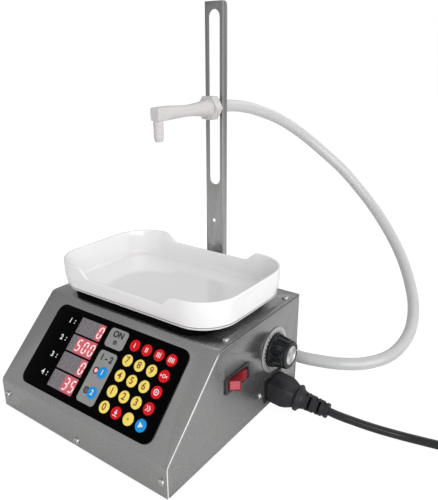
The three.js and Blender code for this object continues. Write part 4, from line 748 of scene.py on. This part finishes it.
half_up, half_across = DIGIT_HEIGHT / 4, DIGIT_WIDTH / 2
SEGMENT_PLACES = {
    "a": (0, 2 * half_up, False), "g": (0, 0, False), "d": (0, -2 * half_up, False),
    "b": (half_across, half_up, True), "c": (half_across, -half_up, True),
    "f": (-half_across, half_up, True), "e": (-half_across, -half_up, True)}
face_form, segments = Form(), []
face_right, digit_pitch = WINDOW_LEFT + WINDOW_WIDTH - FACE_GAP, WINDOW_WIDTH / DIGITS
for low, reading in zip(window_lows, READINGS):
    first_lit = len(reading) - len(reading.strip())
    split = WINDOW_LEFT + FACE_GAP + first_lit * (WINDOW_WIDTH - 2 * FACE_GAP) / DIGITS
    for ink, (left, right) in enumerate(((WINDOW_LEFT + FACE_GAP, split), (split, face_right))):
        face_form.block((left, low + FACE_GAP, FACE_LOW), (right, low + WINDOW_HEIGHT - FACE_GAP, FACE_LEVEL), ink)
    for column, digit in enumerate(reading):
        centre = WINDOW_LEFT + (column + 0.5) * digit_pitch
        for segment, (x, y, is_upright) in SEGMENT_PLACES.items():
            is_lit = segment in SEGMENTS_OF[digit]
            if is_lit or column < first_lit:
                length = (DIGIT_HEIGHT / 2 if is_upright else DIGIT_WIDTH) - DIGIT_GAP
                segments.append((
                    Vector((centre + x + y * tan(DIGIT_SLANT), low + WINDOW_HEIGHT / 2 + y, FACE_LEVEL + 0.02)) / 1000,
                    (length / DIGIT_STROKE, 1.15, 1), (0, 0, pi / 2 - DIGIT_SLANT if is_upright else 0), is_lit))
fit_piece("display_faces", face_form.mesh("display_faces", to_panel, 1e-9), [face_smoky, face_red], "black_plastic")
points, sizes, turns, lights = zip(*segments)
segment_mesh = bpy.data.meshes.new("segment_places")
segment_mesh.from_pydata([tuple(point) for point in points], [], [])
for label, vectors in (("size", sizes), ("turn", turns)):
    attribute = segment_mesh.attributes.new(label, "FLOAT_VECTOR", "POINT")
    attribute.data.foreach_set("vector", [x for vector in vectors for x in vector])
segment_mesh.attributes.new("lit", "BOOLEAN", "POINT").data.foreach_set("value", lights)
digit_mesh = grow("digit_bars", SEGMENT_TREE, {"Stroke": DIGIT_STROKE / 2000, "Thickness": 0.00003,
                                               "Dull": segment_dull, "Lit": segment_lit}, segment_mesh)
digit_mesh.transform(to_panel @ Matrix.Scale(1000, 4))
digit_bars = add_object("digit_bars", digit_mesh)
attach(digit_bars, "base")


# Keys. Round moulded caps with a soft top edge, yellow for the numbers and red or blue for the rest,
# each printed with a plain number or a simple sign. Each is held by its flange under the cover.
KEY_COLOURS = {name: finish("key_" + name, dark, light, 0.26, 0.4, 1300, strength=0.2, Specular_IOR_Level=0.15)
               for name, dark, light in (("yellow", (0.90, 0.69, 0.12), (0.97, 0.78, 0.18)),
                                         ("red", (0.62, 0.004, 0.010), (0.72, 0.009, 0.016)),
                                         ("blue", (0.005, 0.26, 0.68), (0.010, 0.32, 0.76)))}
brown_print = finish("brown_print", (0.19, 0.045, 0.004), (0.24, 0.06, 0.006), 0.35, 0.5, 2000, 5)
KEY_RADIUS, KEY_TOP, KEY_FLANGE, KEY_FLANGE_LOW = 4.8, 1.6, 5.6, -1.2
GRID_LEFT, GRID_LOW, GRID_ACROSS, GRID_UP, GRID_COLUMNS = 22.3, 17.5, 12.57, 12.7, 4


def ring_sign(outer, inner, sides=24):
    """A flat ring as a strip of four-sided faces."""
    points = [Vector((x, y, 0.01)) for radius in (outer, inner) for x, y in circle(radius, sides)]
    return points, [(i, (i + 1) % sides, sides + (i + 1) % sides, sides + i) for i in range(sides)]


def bars(count):
    """A row of short upright bars."""
    return [patch([(x - 0.38, -1.9), (x + 0.38, -1.9), (x + 0.38, 1.9), (x - 0.38, 1.9)])
            for x in (1.5 * (k - (count - 1) / 2) for k in range(count))]


SIGNS = {
    "I": bars(1), "II": bars(2), "III": bars(3), "IIII": bars(4),
    "triangle": [patch([(-1.6, -2.2), (2.4, 0), (-1.6, 2.2)])],
    "chevrons": [patch([(x, -2.1), (x + 0.9, -2.1), (x + 2.5, 0), (x + 0.9, 2.1), (x, 2.1), (x + 1.6, 0)])
                 for x in (-2.6, -0.3)],
    "ring": [ring_sign(2.4, 1.6), patch(circle(0.7, 12))],
    "arrow": [patch([(-0.45, 2.3), (-0.45, 0.4), (-1.7, 0.4), (0, -1.5), (1.7, 0.4), (0.45, 0.4), (0.45, 2.3)]),
              patch([(-2, -2.5), (2, -2.5), (2, -1.9), (-2, -1.9)])],
    "zero": [patch([(-3.1, 1.1), (-1.7, 0), (-3.1, -1.1)]), patch([(3.1, 1.1), (3.1, -1.1), (1.7, 0)]),
             ring_sign(1.5, 0.95)],
    "point": [patch(circle(0.75, 16))]}
GRID_KEYS = (
    ("zero", "0"), ("save", "arrow"), ("point", "point"), ("run", "triangle"),
    ("one", "1"), ("two", "2"), ("three", "3"), ("trigger", "chevrons"),
    ("four", "4"), ("five", "5"), ("six", "6"), ("set", "ring"),
    ("seven", "7"), ("eight", "8"), ("nine", "9"), ("tare", "zero"),
    ("memory_one", "I"), ("memory_two", "II"), ("memory_three", "III"), ("memory_four", "IIII"))
BLUE_KEYS = ("run", "auto", "manual")
keys = [(*key, GRID_LEFT + number % GRID_COLUMNS * GRID_ACROSS, GRID_LOW + number // GRID_COLUMNS * GRID_UP)
        for number, key in enumerate(GRID_KEYS)]
keys += [("auto", "2", 5.1, 22.6), ("manual", "1", 5.1, 39.2)]
for name, sign, x, y in keys:
    colour = "blue" if name in BLUE_KEYS else "yellow" if sign.isdigit() or name == "point" else "red"
    cap = Form()
    cap.turning([(KEY_FLANGE, KEY_FLANGE_LOW), (KEY_FLANGE, 0), (KEY_RADIUS, 0), (KEY_RADIUS, KEY_TOP - 0.45),
                 (KEY_RADIUS - 0.13, KEY_TOP - 0.18), (KEY_RADIUS - 0.42, KEY_TOP - 0.05),
                 (KEY_RADIUS - 0.9, KEY_TOP), (1.2, KEY_TOP)], Matrix.Translation((x, y, 0)), 36)
    on_top = Matrix.Translation((x, y, KEY_TOP + 0.01))
    if sign in SIGNS:
        for points, faces in SIGNS[sign]:
            cap.add([on_top @ point for point in points], faces, 1)
    else:
        cap.add(*letters(sign, 5.5 if colour == "yellow" else 4.2, on_top, 0.14), 1)
    node_name = "key_" + name
    fit_piece(node_name + "_cap", cap, [KEY_COLOURS[colour], brown_print if colour == "yellow" else white_print],
              "key_" + colour, frame["nodes"][node_name]["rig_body"], node_name, at=to_panel)


# Power switch. A snap-in black rocker switch: a bezel on the side of the case and a glossy red rocker
# with two hollowed faces, marked with the line and the ring of on and off.
BEZEL_X, SWITCH_Y, SWITCH_Z = 94.5, 84.2, 56.3


def bezel_corner(edge):
    """One of the four corners of the bezel: an edge along X far from the switch's middle."""
    x, y, z = (abs(off) for off in (edge_middle(edge) - place(BEZEL_X, SWITCH_Y, SWITCH_Z)) * 1000)
    return abs(edge_line(edge).x) > 0.999 and x < 2 and y > 15.5 and z > 6.6


switch_black = finish("switch_black", 0.014, 0.024, 0.2, 0.34, 1500, 20, edge_light_and_wear=0.12, wear=0.7)
dressed("switch_housing", "switch_bezel", [switch_black], "black_plastic", 0.22, bezel_corner, 1.9)
rocker_red = finish("rocker_red", (0.17, 0.002, 0.006), (0.25, 0.004, 0.011), 0.2, 0.3, 500, 8, 0.2,
                    Specular_IOR_Level=0.25, Coat_Weight=0.12, Coat_Roughness=0.08)
rocker_rose = finish("rocker_rose", (0.46, 0.06, 0.08), (0.58, 0.10, 0.12), 0.16, 0.28, 500, 8, 0.2,
                     Coat_Weight=0.4, Coat_Roughness=0.1)
ROCKER_TILT, ROCKER_PIVOT_X, ROCKER_HALF, ROCKER_HALF_HEIGHT, ROCKER_TIP = 0.3, 94.8, 12.0, 4.4, 8.2
ROCKER_FOOT, ROCKER_RISE, ROCKER_DIP, ROCKER_HOLLOW = -3.4, 5.4, 1.4, 0.55


def rocker_end(share):
    """A point of the rocker's rounded end, from its foot at 0 to its tip at 1: along and out."""
    return (ROCKER_TIP + (ROCKER_HALF - ROCKER_TIP) * (1 - share) ** 1.3,
            ROCKER_FOOT + (ROCKER_RISE - ROCKER_FOOT) * share)


rocker_half = [rocker_end(k / 4) for k in range(1, 5)] + [
    (ROCKER_TIP * (1 - k / 6), ROCKER_RISE + (ROCKER_DIP - ROCKER_RISE) * k / 6 - ROCKER_HOLLOW * sin(pi * k / 6))
    for k in range(1, 6)]
rocker_outline = [(-ROCKER_HALF, ROCKER_FOOT), (ROCKER_HALF, ROCKER_FOOT), *rocker_half, (0, ROCKER_DIP),
                  *((-along, out) for along, out in rocker_half[::-1])]
rocker_form = Form()
# Its end face has three bands in a lighter rose red than the rest.
band = [rocker_end(k / 4) for k in (0.4, 1, 2, 3, 3.6)]
end_band_outline = [(along + 0.14, out + 0.05) for along, out in band] + [(along - 0.5, out) for along, out in band[::-1]]
for outline, low, high, ink in ((rocker_outline, -ROCKER_HALF_HEIGHT, ROCKER_HALF_HEIGHT, 0), (end_band_outline, -3.5, -1.5, 1),
                                (end_band_outline, -1.2, 1.2, 1), (end_band_outline, 1.5, 3.5, 1)):
    rocker_form.skin([[Vector((out, -along, z)) for along, out in outline] for z in (low, high)], ink)
rocker_place = Matrix.Translation((ROCKER_PIVOT_X, SWITCH_Y, SWITCH_Z)) @ Matrix.Rotation(ROCKER_TILT, 4, "Z")
fit_piece("rocker", rocker_form, [rocker_red, rocker_rose], "rocker_red", "rocker", "switch_rocker", edge=0.2,
          crease=40, at=to_case(rocker_place))


# Speed control. A bright dial plate with printed ticks and numbers, and a black fluted knob with a
# spun aluminium cap, pushed onto the potentiometer's shaft.
KNOB_Y, KNOB_Z, DIAL_FACE_X, TICK_RADIUS, NUMBER_RADIUS = 141.0, 54.8, 94.82, 16.3, 18.7
dial_plate = finish("dial_plate", (0.50, 0.50, 0.51), (0.58, 0.58, 0.59), 0.3, 0.42, 700, 8, stretch=(1, 1, 8),
                    Metallic=0.5)
dressed("dial_plate", "dial_disc", [dial_plate], "dial_plate", 0.12)


def out_of_side(x):
    """The knob's axis as a matrix: it starts at a distance to the side, and its Z points away from the case."""
    return axes_at((x, KNOB_Y, KNOB_Z), (0, 0, -1), (0, 1, 0), (1, 0, 0))


# Thin printed bars round part of a circle, every fifth one longer.
TICK_TREE, add, given = geometry_group("dial_ticks", (
    ("Ticks", "Int", 31), ("Radius", "Float", 0.018), ("Start", "Float", 0.0), ("Sweep", "Float", 1.0),
    ("Length", "Float", 0.0016), ("Width", "Float", 0.0003), ("Ink", "Material")))
index = add("GeometryNodeInputIndex")
share = add("Math", index, add("Math", given["Ticks"], 1, operation="SUBTRACT"), operation="DIVIDE")
angle = add("Math", share, given["Sweep"], given["Start"], operation="MULTIPLY_ADD")
way = add("CombineXYZ", add("Math", angle, operation="COSINE"), add("Math", angle, operation="SINE"))
line = add("GeometryNodeMeshLine", given["Ticks"], Offset=(0, 0, 0), mode="OFFSET")
spots = add("GeometryNodeSetPosition", line, Position=add("VectorMath", way, given["Radius"], operation="SCALE"))
bar = add("GeometryNodeMeshCube", add("CombineXYZ", given["Length"], given["Width"], 0.00004))
is_short = add("Math", add("Math", index, 5, operation="MODULO"), 0.5, operation="GREATER_THAN")
reach = add("MapRange", is_short, To_Min=1.2, To_Max=1.0)
add("NodeGroupOutput", set_on_points(add, spots, bar, add("CombineXYZ", Z=angle), add("CombineXYZ", reach, 1, 1),
                                     given["Ink"]))

ticks = grow("dial_ticks", TICK_TREE, {"Ticks": 26, "Radius": TICK_RADIUS / 1000, "Start": radians(30),
                                       "Sweep": radians(300), "Length": 0.0019, "Width": 0.0011, "Ink": dark_print_and_shade})
on_dial = out_of_side(DIAL_FACE_X)
ticks.transform(to_case(on_dial) @ Matrix.Scale(1000, 4))
fit_piece("dial_ticks", ticks, [dark_print_and_shade], "dial_plate", crease=60)
number_form = Form()
for number in range(6):
    angle = radians(330 - 60 * number)
    spot = Matrix.Translation((NUMBER_RADIUS * cos(angle), NUMBER_RADIUS * sin(angle), 0))
    number_form.add(*letters(str(number), 1.7, on_dial @ spot @ Matrix.Rotation(pi / 2, 4, "Z"), 0.03))
# A dark ring round the knob's skirt: painted shade in the gap under the skirt.
number_form.skin([[on_dial @ Vector((x, y, lift)) for x, y in circle(radius, 72)]
                  for radius, lift in ((15.3, -0.01), (15.3, 0.02), (14.2, 0.02), (14.2, -0.01))], loop=True)
fit_piece("dial_numbers", number_form, [dark_print_and_shade], "dial_plate")

KNOB_START, KNOB_SKIRT, KNOB_FRONT, KNOB_FLUTES, KNOB_TURN, KNOB_FLUTE, KNOB_CAP = 95.3, 14.9, 12.1, 10, 0.67, 1.2, 8.0
KNOB_RINGS = ((4.0, 0, 0.6), (4.0, 0, 0), (KNOB_SKIRT - 0.3, 0, 0), (KNOB_SKIRT, 0, 0.4), (KNOB_SKIRT, 0, 1.7),
              (KNOB_SKIRT - 0.3, 0, 2.0), (KNOB_SKIRT - 0.7, 0, 2.05), (KNOB_SKIRT - 0.9, KNOB_FLUTE, 2.3),
              (KNOB_FRONT + 0.4, KNOB_FLUTE, 12.5), (KNOB_FRONT + 0.3, 0, 12.75), (KNOB_FRONT + 0.1, 0, 14.7),
              (KNOB_FRONT - 0.4, 0, 15.3), (KNOB_FRONT - 0.9, 0, 15.4), (KNOB_CAP + 0.6, 0, 15.4),
              (KNOB_CAP + 0.3, 0, 14.9))
on_knob = out_of_side(KNOB_START)


def fluted(radius, depth, along, sides=160):
    """A ring of the knob: narrow ridges and broad flat hollows between them."""
    ring = []
    for i in range(sides):
        angle = 2 * pi * (i + 0.5) / sides
        share = (KNOB_FLUTES * (angle - pi / 2) / (2 * pi) - KNOB_TURN) % 1
        reach = radius - depth * eased(min(max(min(share - 0.15, 1.01 - share) / 0.09, 0), 1))
        ring.append(on_knob @ Vector((reach * cos(angle), reach * sin(angle), along)))
    return ring


# Its edges turn light grey: painted highlight along the ridges of the flutes.
knob_black = finish("knob_black", (0.003, 0.004, 0.0045), (0.007, 0.009, 0.010), 0.15, 0.25, 900, 20,
                    edge_light_and_wear=(0.35, 0.36, 0.36), wear=1.0, Specular_IOR_Level=0.25)
knob_form, cap_form = Form(), Form()
knob_form.skin([fluted(*ring) for ring in KNOB_RINGS])
fit_piece("knob_body", knob_form, [knob_black], "knob_black", "knob", "speed_knob", crease=40)

# The cap's finish: fine turned grooves, and a sheen painted into its colour that changes three times round its middle.
spun_cap, add, shader = new_material("spun_cap")
middle = add("VectorMath", add("TexCoord").outputs["Object"], place(0, KNOB_Y, KNOB_Z), operation="SUBTRACT")
back, up = (add("SeparateXYZ", middle).outputs[axis] for axis in "YZ")
grooves = add("TexNoise", W=add("VectorMath", add("CombineXYZ", back, up), operation="LENGTH"), Scale=9000.0,
              Detail=2.0, noise_dimensions="1D")
painted_sheen_turns = add("Math", add("Math", back, up, operation="ARCTAN2"), 3, operation="MULTIPLY")
feed(shader, Base_Color=add("MapRange", add("Math", painted_sheen_turns, operation="COSINE"), -1.0, 1.0, 0.55, 0.95),
     Roughness=add("MapRange", grooves, To_Min=0.22, To_Max=0.42), Metallic=1.0,
     Normal=add("Bump", Strength=0.35, Distance=0.00002, Height=grooves))
cap_form.turning([(KNOB_CAP, 14.6), (KNOB_CAP, 15.65), (KNOB_CAP - 0.25, 15.8), (KNOB_CAP - 0.9, 15.8),
                  (KNOB_CAP - 1.1, 15.55), (2.5, 15.55)], on_knob, 72)
cap_form.block((-0.45, 9.4, 15.35), (0.45, 12.0, 15.5), 1, on_knob)
fit_piece("knob_cap", cap_form, [spun_cap, white_print], "knob_black", "knob")


# Upright bar. A strip of the same steel with one edge folded back and a long slot for the nozzle. It
# is brushed along its length and bolted to the rear panel.
BAR_CORNER = place(9.5, 184.3, 0)


def bar_fold(edge):
    """The outer edge of the bar's fold: upright, at the front right corner."""
    return abs(edge_line(edge).z) > 0.999 and (edge.verts[0].co.xy - BAR_CORNER.xy).length < 0.0004


# Darker towards the top as painted shade, and its edges lighter, partly as wear and partly as painted highlight on the
# fold.
bar_steel = finish("bar_steel", (0.34, 0.336, 0.335), (0.46, 0.456, 0.452), 0.24, 0.36, 900, 12, 0.2, (1, 1, 0.02),
                   (0.7, 0.7, 0.69), 0.8, painted_shade_above=(0.15, 0.26, 0.7, (0.17, 0.168, 0.167)), Metallic=0.8)
dressed("upright_bar", "bar_strip", [bar_steel], "bar_steel", 0.2, bar_fold, 0.8)


# Nozzle. A moulded nylon elbow: a hex flange that bears on the bar, an arm that tapers to the tip and
# a ridged spout. Its thread passes the slot and takes a hex lock nut, and its rear barb the hose.
nylon = finish("nylon", (0.555, 0.53, 0.53), (0.62, 0.595, 0.595), 0.3, 0.44, 800, 20, 0.2,
               Subsurface_Weight=0.2, Subsurface_Scale=0.002, Subsurface_Radius=(1, 1, 1))
NOZZLE_Z, HEX_START, HEX_END, SPOUT_Y, SPOUT_BOTTOM = 248.7, 173.6, 181.8, 109.4, 227.0
THREAD_ROOT, THREAD_CREST, THREAD_PITCH, THREAD_TURNS = 4.1, 4.5, 0.8, 7
SPOUT_RIDGES, SPOUT_ROOT, SPOUT_RADIUS, SPOUT_TIP, SPOUT_BORE = 4, 3.9, 4.35, 3.5, 2.3
ARM_SECTIONS = ((105.1, 4.1, 4.8, 0.12), (105.3, 4.4, 5.1, 0.12), (105.7, 4.6, 5.3, 0.12), (111.5, 4.65, 5.5, 0.14),
                (114.5, 4.8, 5.68, 0.22), (116.6, 5.1, 5.8, 0.5), (118.8, 5.3, 5.82, 0.85), (122.5, 5.4, 5.68, 1),
                (126.5, 5.4, 5.5, 1), (133.3, 5.17, 5.17, 1), (140.3, 4.88, 4.88, 1), (147.5, 4.85, 4.85, 1),
                (152.6, 5.25, 5.25, 1), (158.6, 5.75, 5.75, 1), (162.4, 6.15, 6.15, 1), (168.5, 7.0, 7.0, 1),
                (172.5, 7.6, 7.6, 1), (175.0, 8.0, 8.0, 1))
nozzle_form = Form()
nozzle_form.skin([[Vector((u, y, NOZZLE_Z + v)) for u, v in soft_square(*section, 40, 0.02)]
                  for y, *section in ARM_SECTIONS])
thread = [(radius, BAR_BACK + THREAD_PITCH * (turn + half)) for turn in range(THREAD_TURNS)
          for radius, half in ((THREAD_ROOT, 0), (THREAD_CREST, 0.5))]
barb = [(2.6, 190.5), (2.9, 192.5), (2.5, 192.7), (2.9, 195.5), (2.5, 195.7), (2.9, 198.6), (2.2, 201.1)]
for profile, sides in (
        ([(10.9, HEX_START), (11.5, HEX_START + 0.5), (11.5, HEX_END - 0.5), (10.9, HEX_END)], 6),
        ([(8.6, HEX_END - 0.4), (9, HEX_END), (9, 183.6), (8.7, 184)], 40), ([(5.5, 183), (5.5, BAR_BACK)], 28),
        ([(THREAD_ROOT, 184), *thread, (THREAD_ROOT, 191.4)], 24), (barb, 24)):
    nozzle_form.turning(profile, axes_at((0, 0, NOZZLE_Z), (1, 0, 0), (0, 0, -1), (0, 1, 0)), sides)
spout_length = NOZZLE_Z - SPOUT_BOTTOM
ridge_pitch = 0.7 * spout_length / (SPOUT_RIDGES + 0.5)
spout_profile = [(SPOUT_BORE, 4), (SPOUT_BORE, 0), (SPOUT_ROOT * 0.8, 0), (SPOUT_TIP, 0.4 * ridge_pitch)]
for i in range(SPOUT_RIDGES):
    reach = SPOUT_RADIUS - 0.08 * (SPOUT_RIDGES - 1 - i)
    spout_profile += [(radius, ridge_pitch * (0.5 + i + share)) for radius, share in (
        (reach - 0.08, 0.62), (reach, 0.7), (reach - 0.1, 0.78), (SPOUT_ROOT, 1))]
spout_profile.append((SPOUT_ROOT, spout_length))
nozzle_form.turning(spout_profile, Matrix.Translation((0, SPOUT_Y, SPOUT_BOTTOM)), 32)
fit_piece("nozzle", nozzle_form, [nylon], "nylon", "nozzle", "nozzle_elbow", crease=28)
dressed("nozzle_lock_nut", "lock_nut", [nylon], "nylon", 0.35)


# Tray. One white moulding with a glossy skin: high walls at the ends, low ones at the front and back
# with soft steps between them, a set-back foot and a fine groove round it, painted dark grey as shade. It
# lifts off its support.
TRAY_Y, TRAY_FLOOR_Z, TRAY_HALF_LENGTH, TRAY_HALF_DEPTH, TRAY_CORNER, TRAY_BOW = 117.51, 97.0, 90.0, 59.5, 33.0, 1.2
TRAY_HIGH, TRAY_LOW, TRAY_WALL, TRAY_DRAFT, TRAY_FLOOR, TRAY_HEEL, TRAY_HOLLOW = 26.5, 18.0, 2.4, 2.6, 2.6, 5.0, 4.2
LOW_HALF, HIGH_HALF, CORNER_STEPS, LONG_STEPS, SHORT_STEPS, HOLLOW_STEPS = 40.0, 53.5, 16, 36, 14, 12
straight_x, straight_y = TRAY_HALF_LENGTH - TRAY_CORNER, TRAY_HALF_DEPTH - TRAY_CORNER

# Points round the tray's plan: where each starts from and its way out. Corners have fine steps.
tray_plan = []
for sx, sy, start in ((1, -1, -90), (1, 1, 0), (-1, 1, 90), (-1, -1, 180)):
    for k in range(CORNER_STEPS + 1):
        angle = radians(start + 90 * k / CORNER_STEPS)
        tray_plan.append((sx * straight_x, sy * straight_y, cos(angle), sin(angle)))
    out = tray_plan[-1][2:]
    steps = LONG_STEPS if abs(out[1]) > 0.5 else SHORT_STEPS
    for k in range(1, steps):
        left = 1 - 2 * k / steps
        across, deep = (left, 1) if steps == LONG_STEPS else (1, left)
        tray_plan.append((sx * straight_x * across, sy * straight_y * deep, *out))


def tray_rim(x):
    """How high the rim stands over the foot at a distance from the middle."""
    return TRAY_LOW + eased(min(max((abs(x) - LOW_HALF) / (HIGH_HALF - LOW_HALF), 0), 1)) * (TRAY_HIGH - TRAY_LOW)


def tray_ring(inset, height=None, drop=0):
    """One line round the tray, set inwards, at a height or else at a drop below the rim."""
    ring = []
    for x, y, nx, ny in tray_plan:
        reach = TRAY_CORNER - inset + TRAY_BOW * (1 - (y / TRAY_HALF_DEPTH) ** 2) * abs(nx)
        up = tray_rim(x) - drop if height is None else height
        ring.append(Vector((x + nx * reach, TRAY_Y + y + ny * reach, TRAY_FLOOR_Z + up)))
    return ring


def wall_inset(height):
    """How far the outer wall leans in at a height, from the heel's top to the rim."""
    return TRAY_DRAFT * (1 - min(height / TRAY_LOW, 1)) ** 1.4


foot_inset, hollow_top = TRAY_DRAFT + TRAY_HEEL, TRAY_FLOOR + TRAY_HOLLOW
tray_rings = [tray_ring(*line) for line in ((foot_inset, 0), (foot_inset, 2.2), (2.9, 2.4), (2.45, 2.65))]
groove_ring = len(tray_rings) + 1
tray_rings += [tray_ring(wall_inset(height) + notch, height) for height, notch in (
    (3.2, 0), (4.4, 0), (4.5, 0.5), (5.1, 0.5), (5.2, 0), (8, 0), (12, 0), (15.5, 0))]
tray_rings += [tray_ring(TRAY_WALL * share, drop=drop) for share, drop in (
    (0, 1.3), (0, 0.55), (0.06, 0.2), (0.2, 0.04), (0.5, 0), (0.8, 0.04), (0.94, 0.2), (1, 0.55))]
tray_rings += [tray_ring(wall_inset(height) + TRAY_WALL, height) for height in (14.5, hollow_top)]
for k in range(1, HOLLOW_STEPS + 1):
    angle = pi / 2 * k / HOLLOW_STEPS
    tray_rings.append(tray_ring(wall_inset(hollow_top) + TRAY_WALL + 1.15 * TRAY_HOLLOW * (1 - cos(angle)),
                                hollow_top - TRAY_HOLLOW * sin(angle)))
tray_form = Form()
tray_form.skin(tray_rings)
shaded_groove = slice(groove_ring * len(tray_plan), (groove_ring + 3) * len(tray_plan))
tray_form.inks[shaded_groove] = [1] * (3 * len(tray_plan))
# The groove's faces are dark grey: painted shade in the groove.
tray_groove_shade = finish("tray_groove_shade", (0.24, 0.24, 0.25), (0.30, 0.30, 0.31), 0.3, 0.4, 120)
tray_white = finish("tray_white", (0.84, 0.83, 0.84), (0.88, 0.872, 0.88), 0.08, 0.14, 120, strength=0.04,
                    Coat_Weight=1.0, Coat_Roughness=0.03)
fit_piece("tray_moulding", tray_form, [tray_white, tray_groove_shade], "tray_white", "tray", "tray", crease=50)
# The support plate is black plastic, made near black and matte to stand also for the shadow under the tray.
support_black_and_shadow = finish("support_black_and_shadow", (0.001, 0.001, 0.0012), (0.002, 0.002, 0.0024), 0.5, 0.65, 1300, 40, 0.35,
                       Specular_IOR_Level=0.02)
dressed("tray_support", "support_plate", [support_black_and_shadow], "black_plastic", 0.6, segments=3)


# Sockets and fittings on the side and the back: the mains inlet that the connector fills, and two
# nylon barbs, the outlet's with the delivery hose on it and the inlet's bare at the back.
# The inlet is black plastic, made darker to stand also for the deep shadow round the connector.
inlet_black_and_shade = finish("inlet_black_and_shade", (0.005, 0.005, 0.006), (0.009, 0.009, 0.010), 0.32, 0.46, 1500, 20)
dressed("mains_inlet", "inlet_socket", [inlet_black_and_shade], "black_plastic")
dressed("outlet_barb", "outlet_fitting", [nylon], "nylon", 0.15)
dressed("inlet_barb", "inlet_fitting", [nylon], "nylon", 0.15)


# Inside. The load cell under the tray, the potentiometer, the power supply, the control board and the
# pump with its motor, rotor, rollers and tube keep their solids and get their real finishes.
cast_aluminium = finish("cast_aluminium", (0.42, 0.43, 0.44), (0.52, 0.53, 0.54), 0.32, 0.48, 700, 20, edge_light_and_wear=0.8,
                        wear=0.4, Metallic=0.85)
motor_steel = finish("motor_steel", (0.34, 0.34, 0.33), (0.44, 0.44, 0.43), 0.22, 0.38, 600, stretch=(1, 1, 12),
                     Metallic=0.9)
pump_plastic = finish("pump_plastic", (0.55, 0.55, 0.53), (0.62, 0.62, 0.60), 0.35, 0.5, 900, 30)
rotor_grey = finish("rotor_grey", 0.2, 0.26, 0.35, 0.5, 900, 20)
for material, names in (
        (cast_aluminium, ("load_cell", "power_supply")), (motor_steel, ("potentiometer", "pump_motor")),
        (board_green, ("control_board",)), (pump_plastic, ("pump_housing",)), (silicone, ("pump_tube",)),
        (rotor_grey, ("pump_cover", "pump_rotor")), (nylon, ("pump_roller_1", "pump_roller_2", "pump_roller_3"))):
    for name in names:
        slot = frame["nodes"][name].material_slots[0]
        slot.link, slot.material = "OBJECT", material


# Room. A plain white table, a large soft light to the right of the camera, smaller ones to the left
# and behind, and an even pale room. The table and the room show white, and the table keeps the shadow.
LIGHTS_FACE = Vector((0, 0, 0.1))
for name, where, size, power in (("key_light", (1.8, -0.9, 0.9), 2.0, 28), ("fill_light", (-1.2, -1.6, 0.9), 1.8, 2),
                                 ("back_light", (0.2, 1.6, 1.3), 1.6, 6)):
    lamp = add_object(name, bpy.data.lights.new(name, "AREA"))
    lamp.data.shape, lamp.data.size, lamp.data.energy = "SQUARE", size, power
    lamp.location = where
    lamp.rotation_euler = (LIGHTS_FACE - Vector(where)).to_track_quat("-Z", "Y").to_euler()
table_form = Form()
table_form.block((-4, -4, -0.02), (4, 4, -0.0003))
table_white, add, shader = new_material("table_white")
feed(shader, Base_Color=shade(0.9), Roughness=0.6)
seen = add("Math", add("LightPath").outputs["Is Camera Ray"], 0.8, operation="MULTIPLY")
feed(table_white.node_tree.nodes["Material Output"], add("MixShader", seen, shader, add("Emission", shade(1), 1.15)))
table = add_object("table", table_form.mesh("table"))
table.data.materials.append(table_white)
scene.world = bpy.data.worlds.new("room")
scene.world.use_nodes = True
room = scene.world.node_tree
add, plain = adder(room), room.nodes["Background"]
ways = add("SeparateXYZ", add("TexCoord").outputs["Generated"]).outputs
feed(plain, shade(1), add("MapRange", ways["X"], -1.0, 1.0, 0.46, 0.78))
paths = add("LightPath").outputs
either = add("Math", paths["Is Camera Ray"], paths["Is Transmission Ray"], operation="MAXIMUM")
feed(room.nodes["World Output"], add("MixShader", either, plain, add("Background", shade(1), 1.0)))
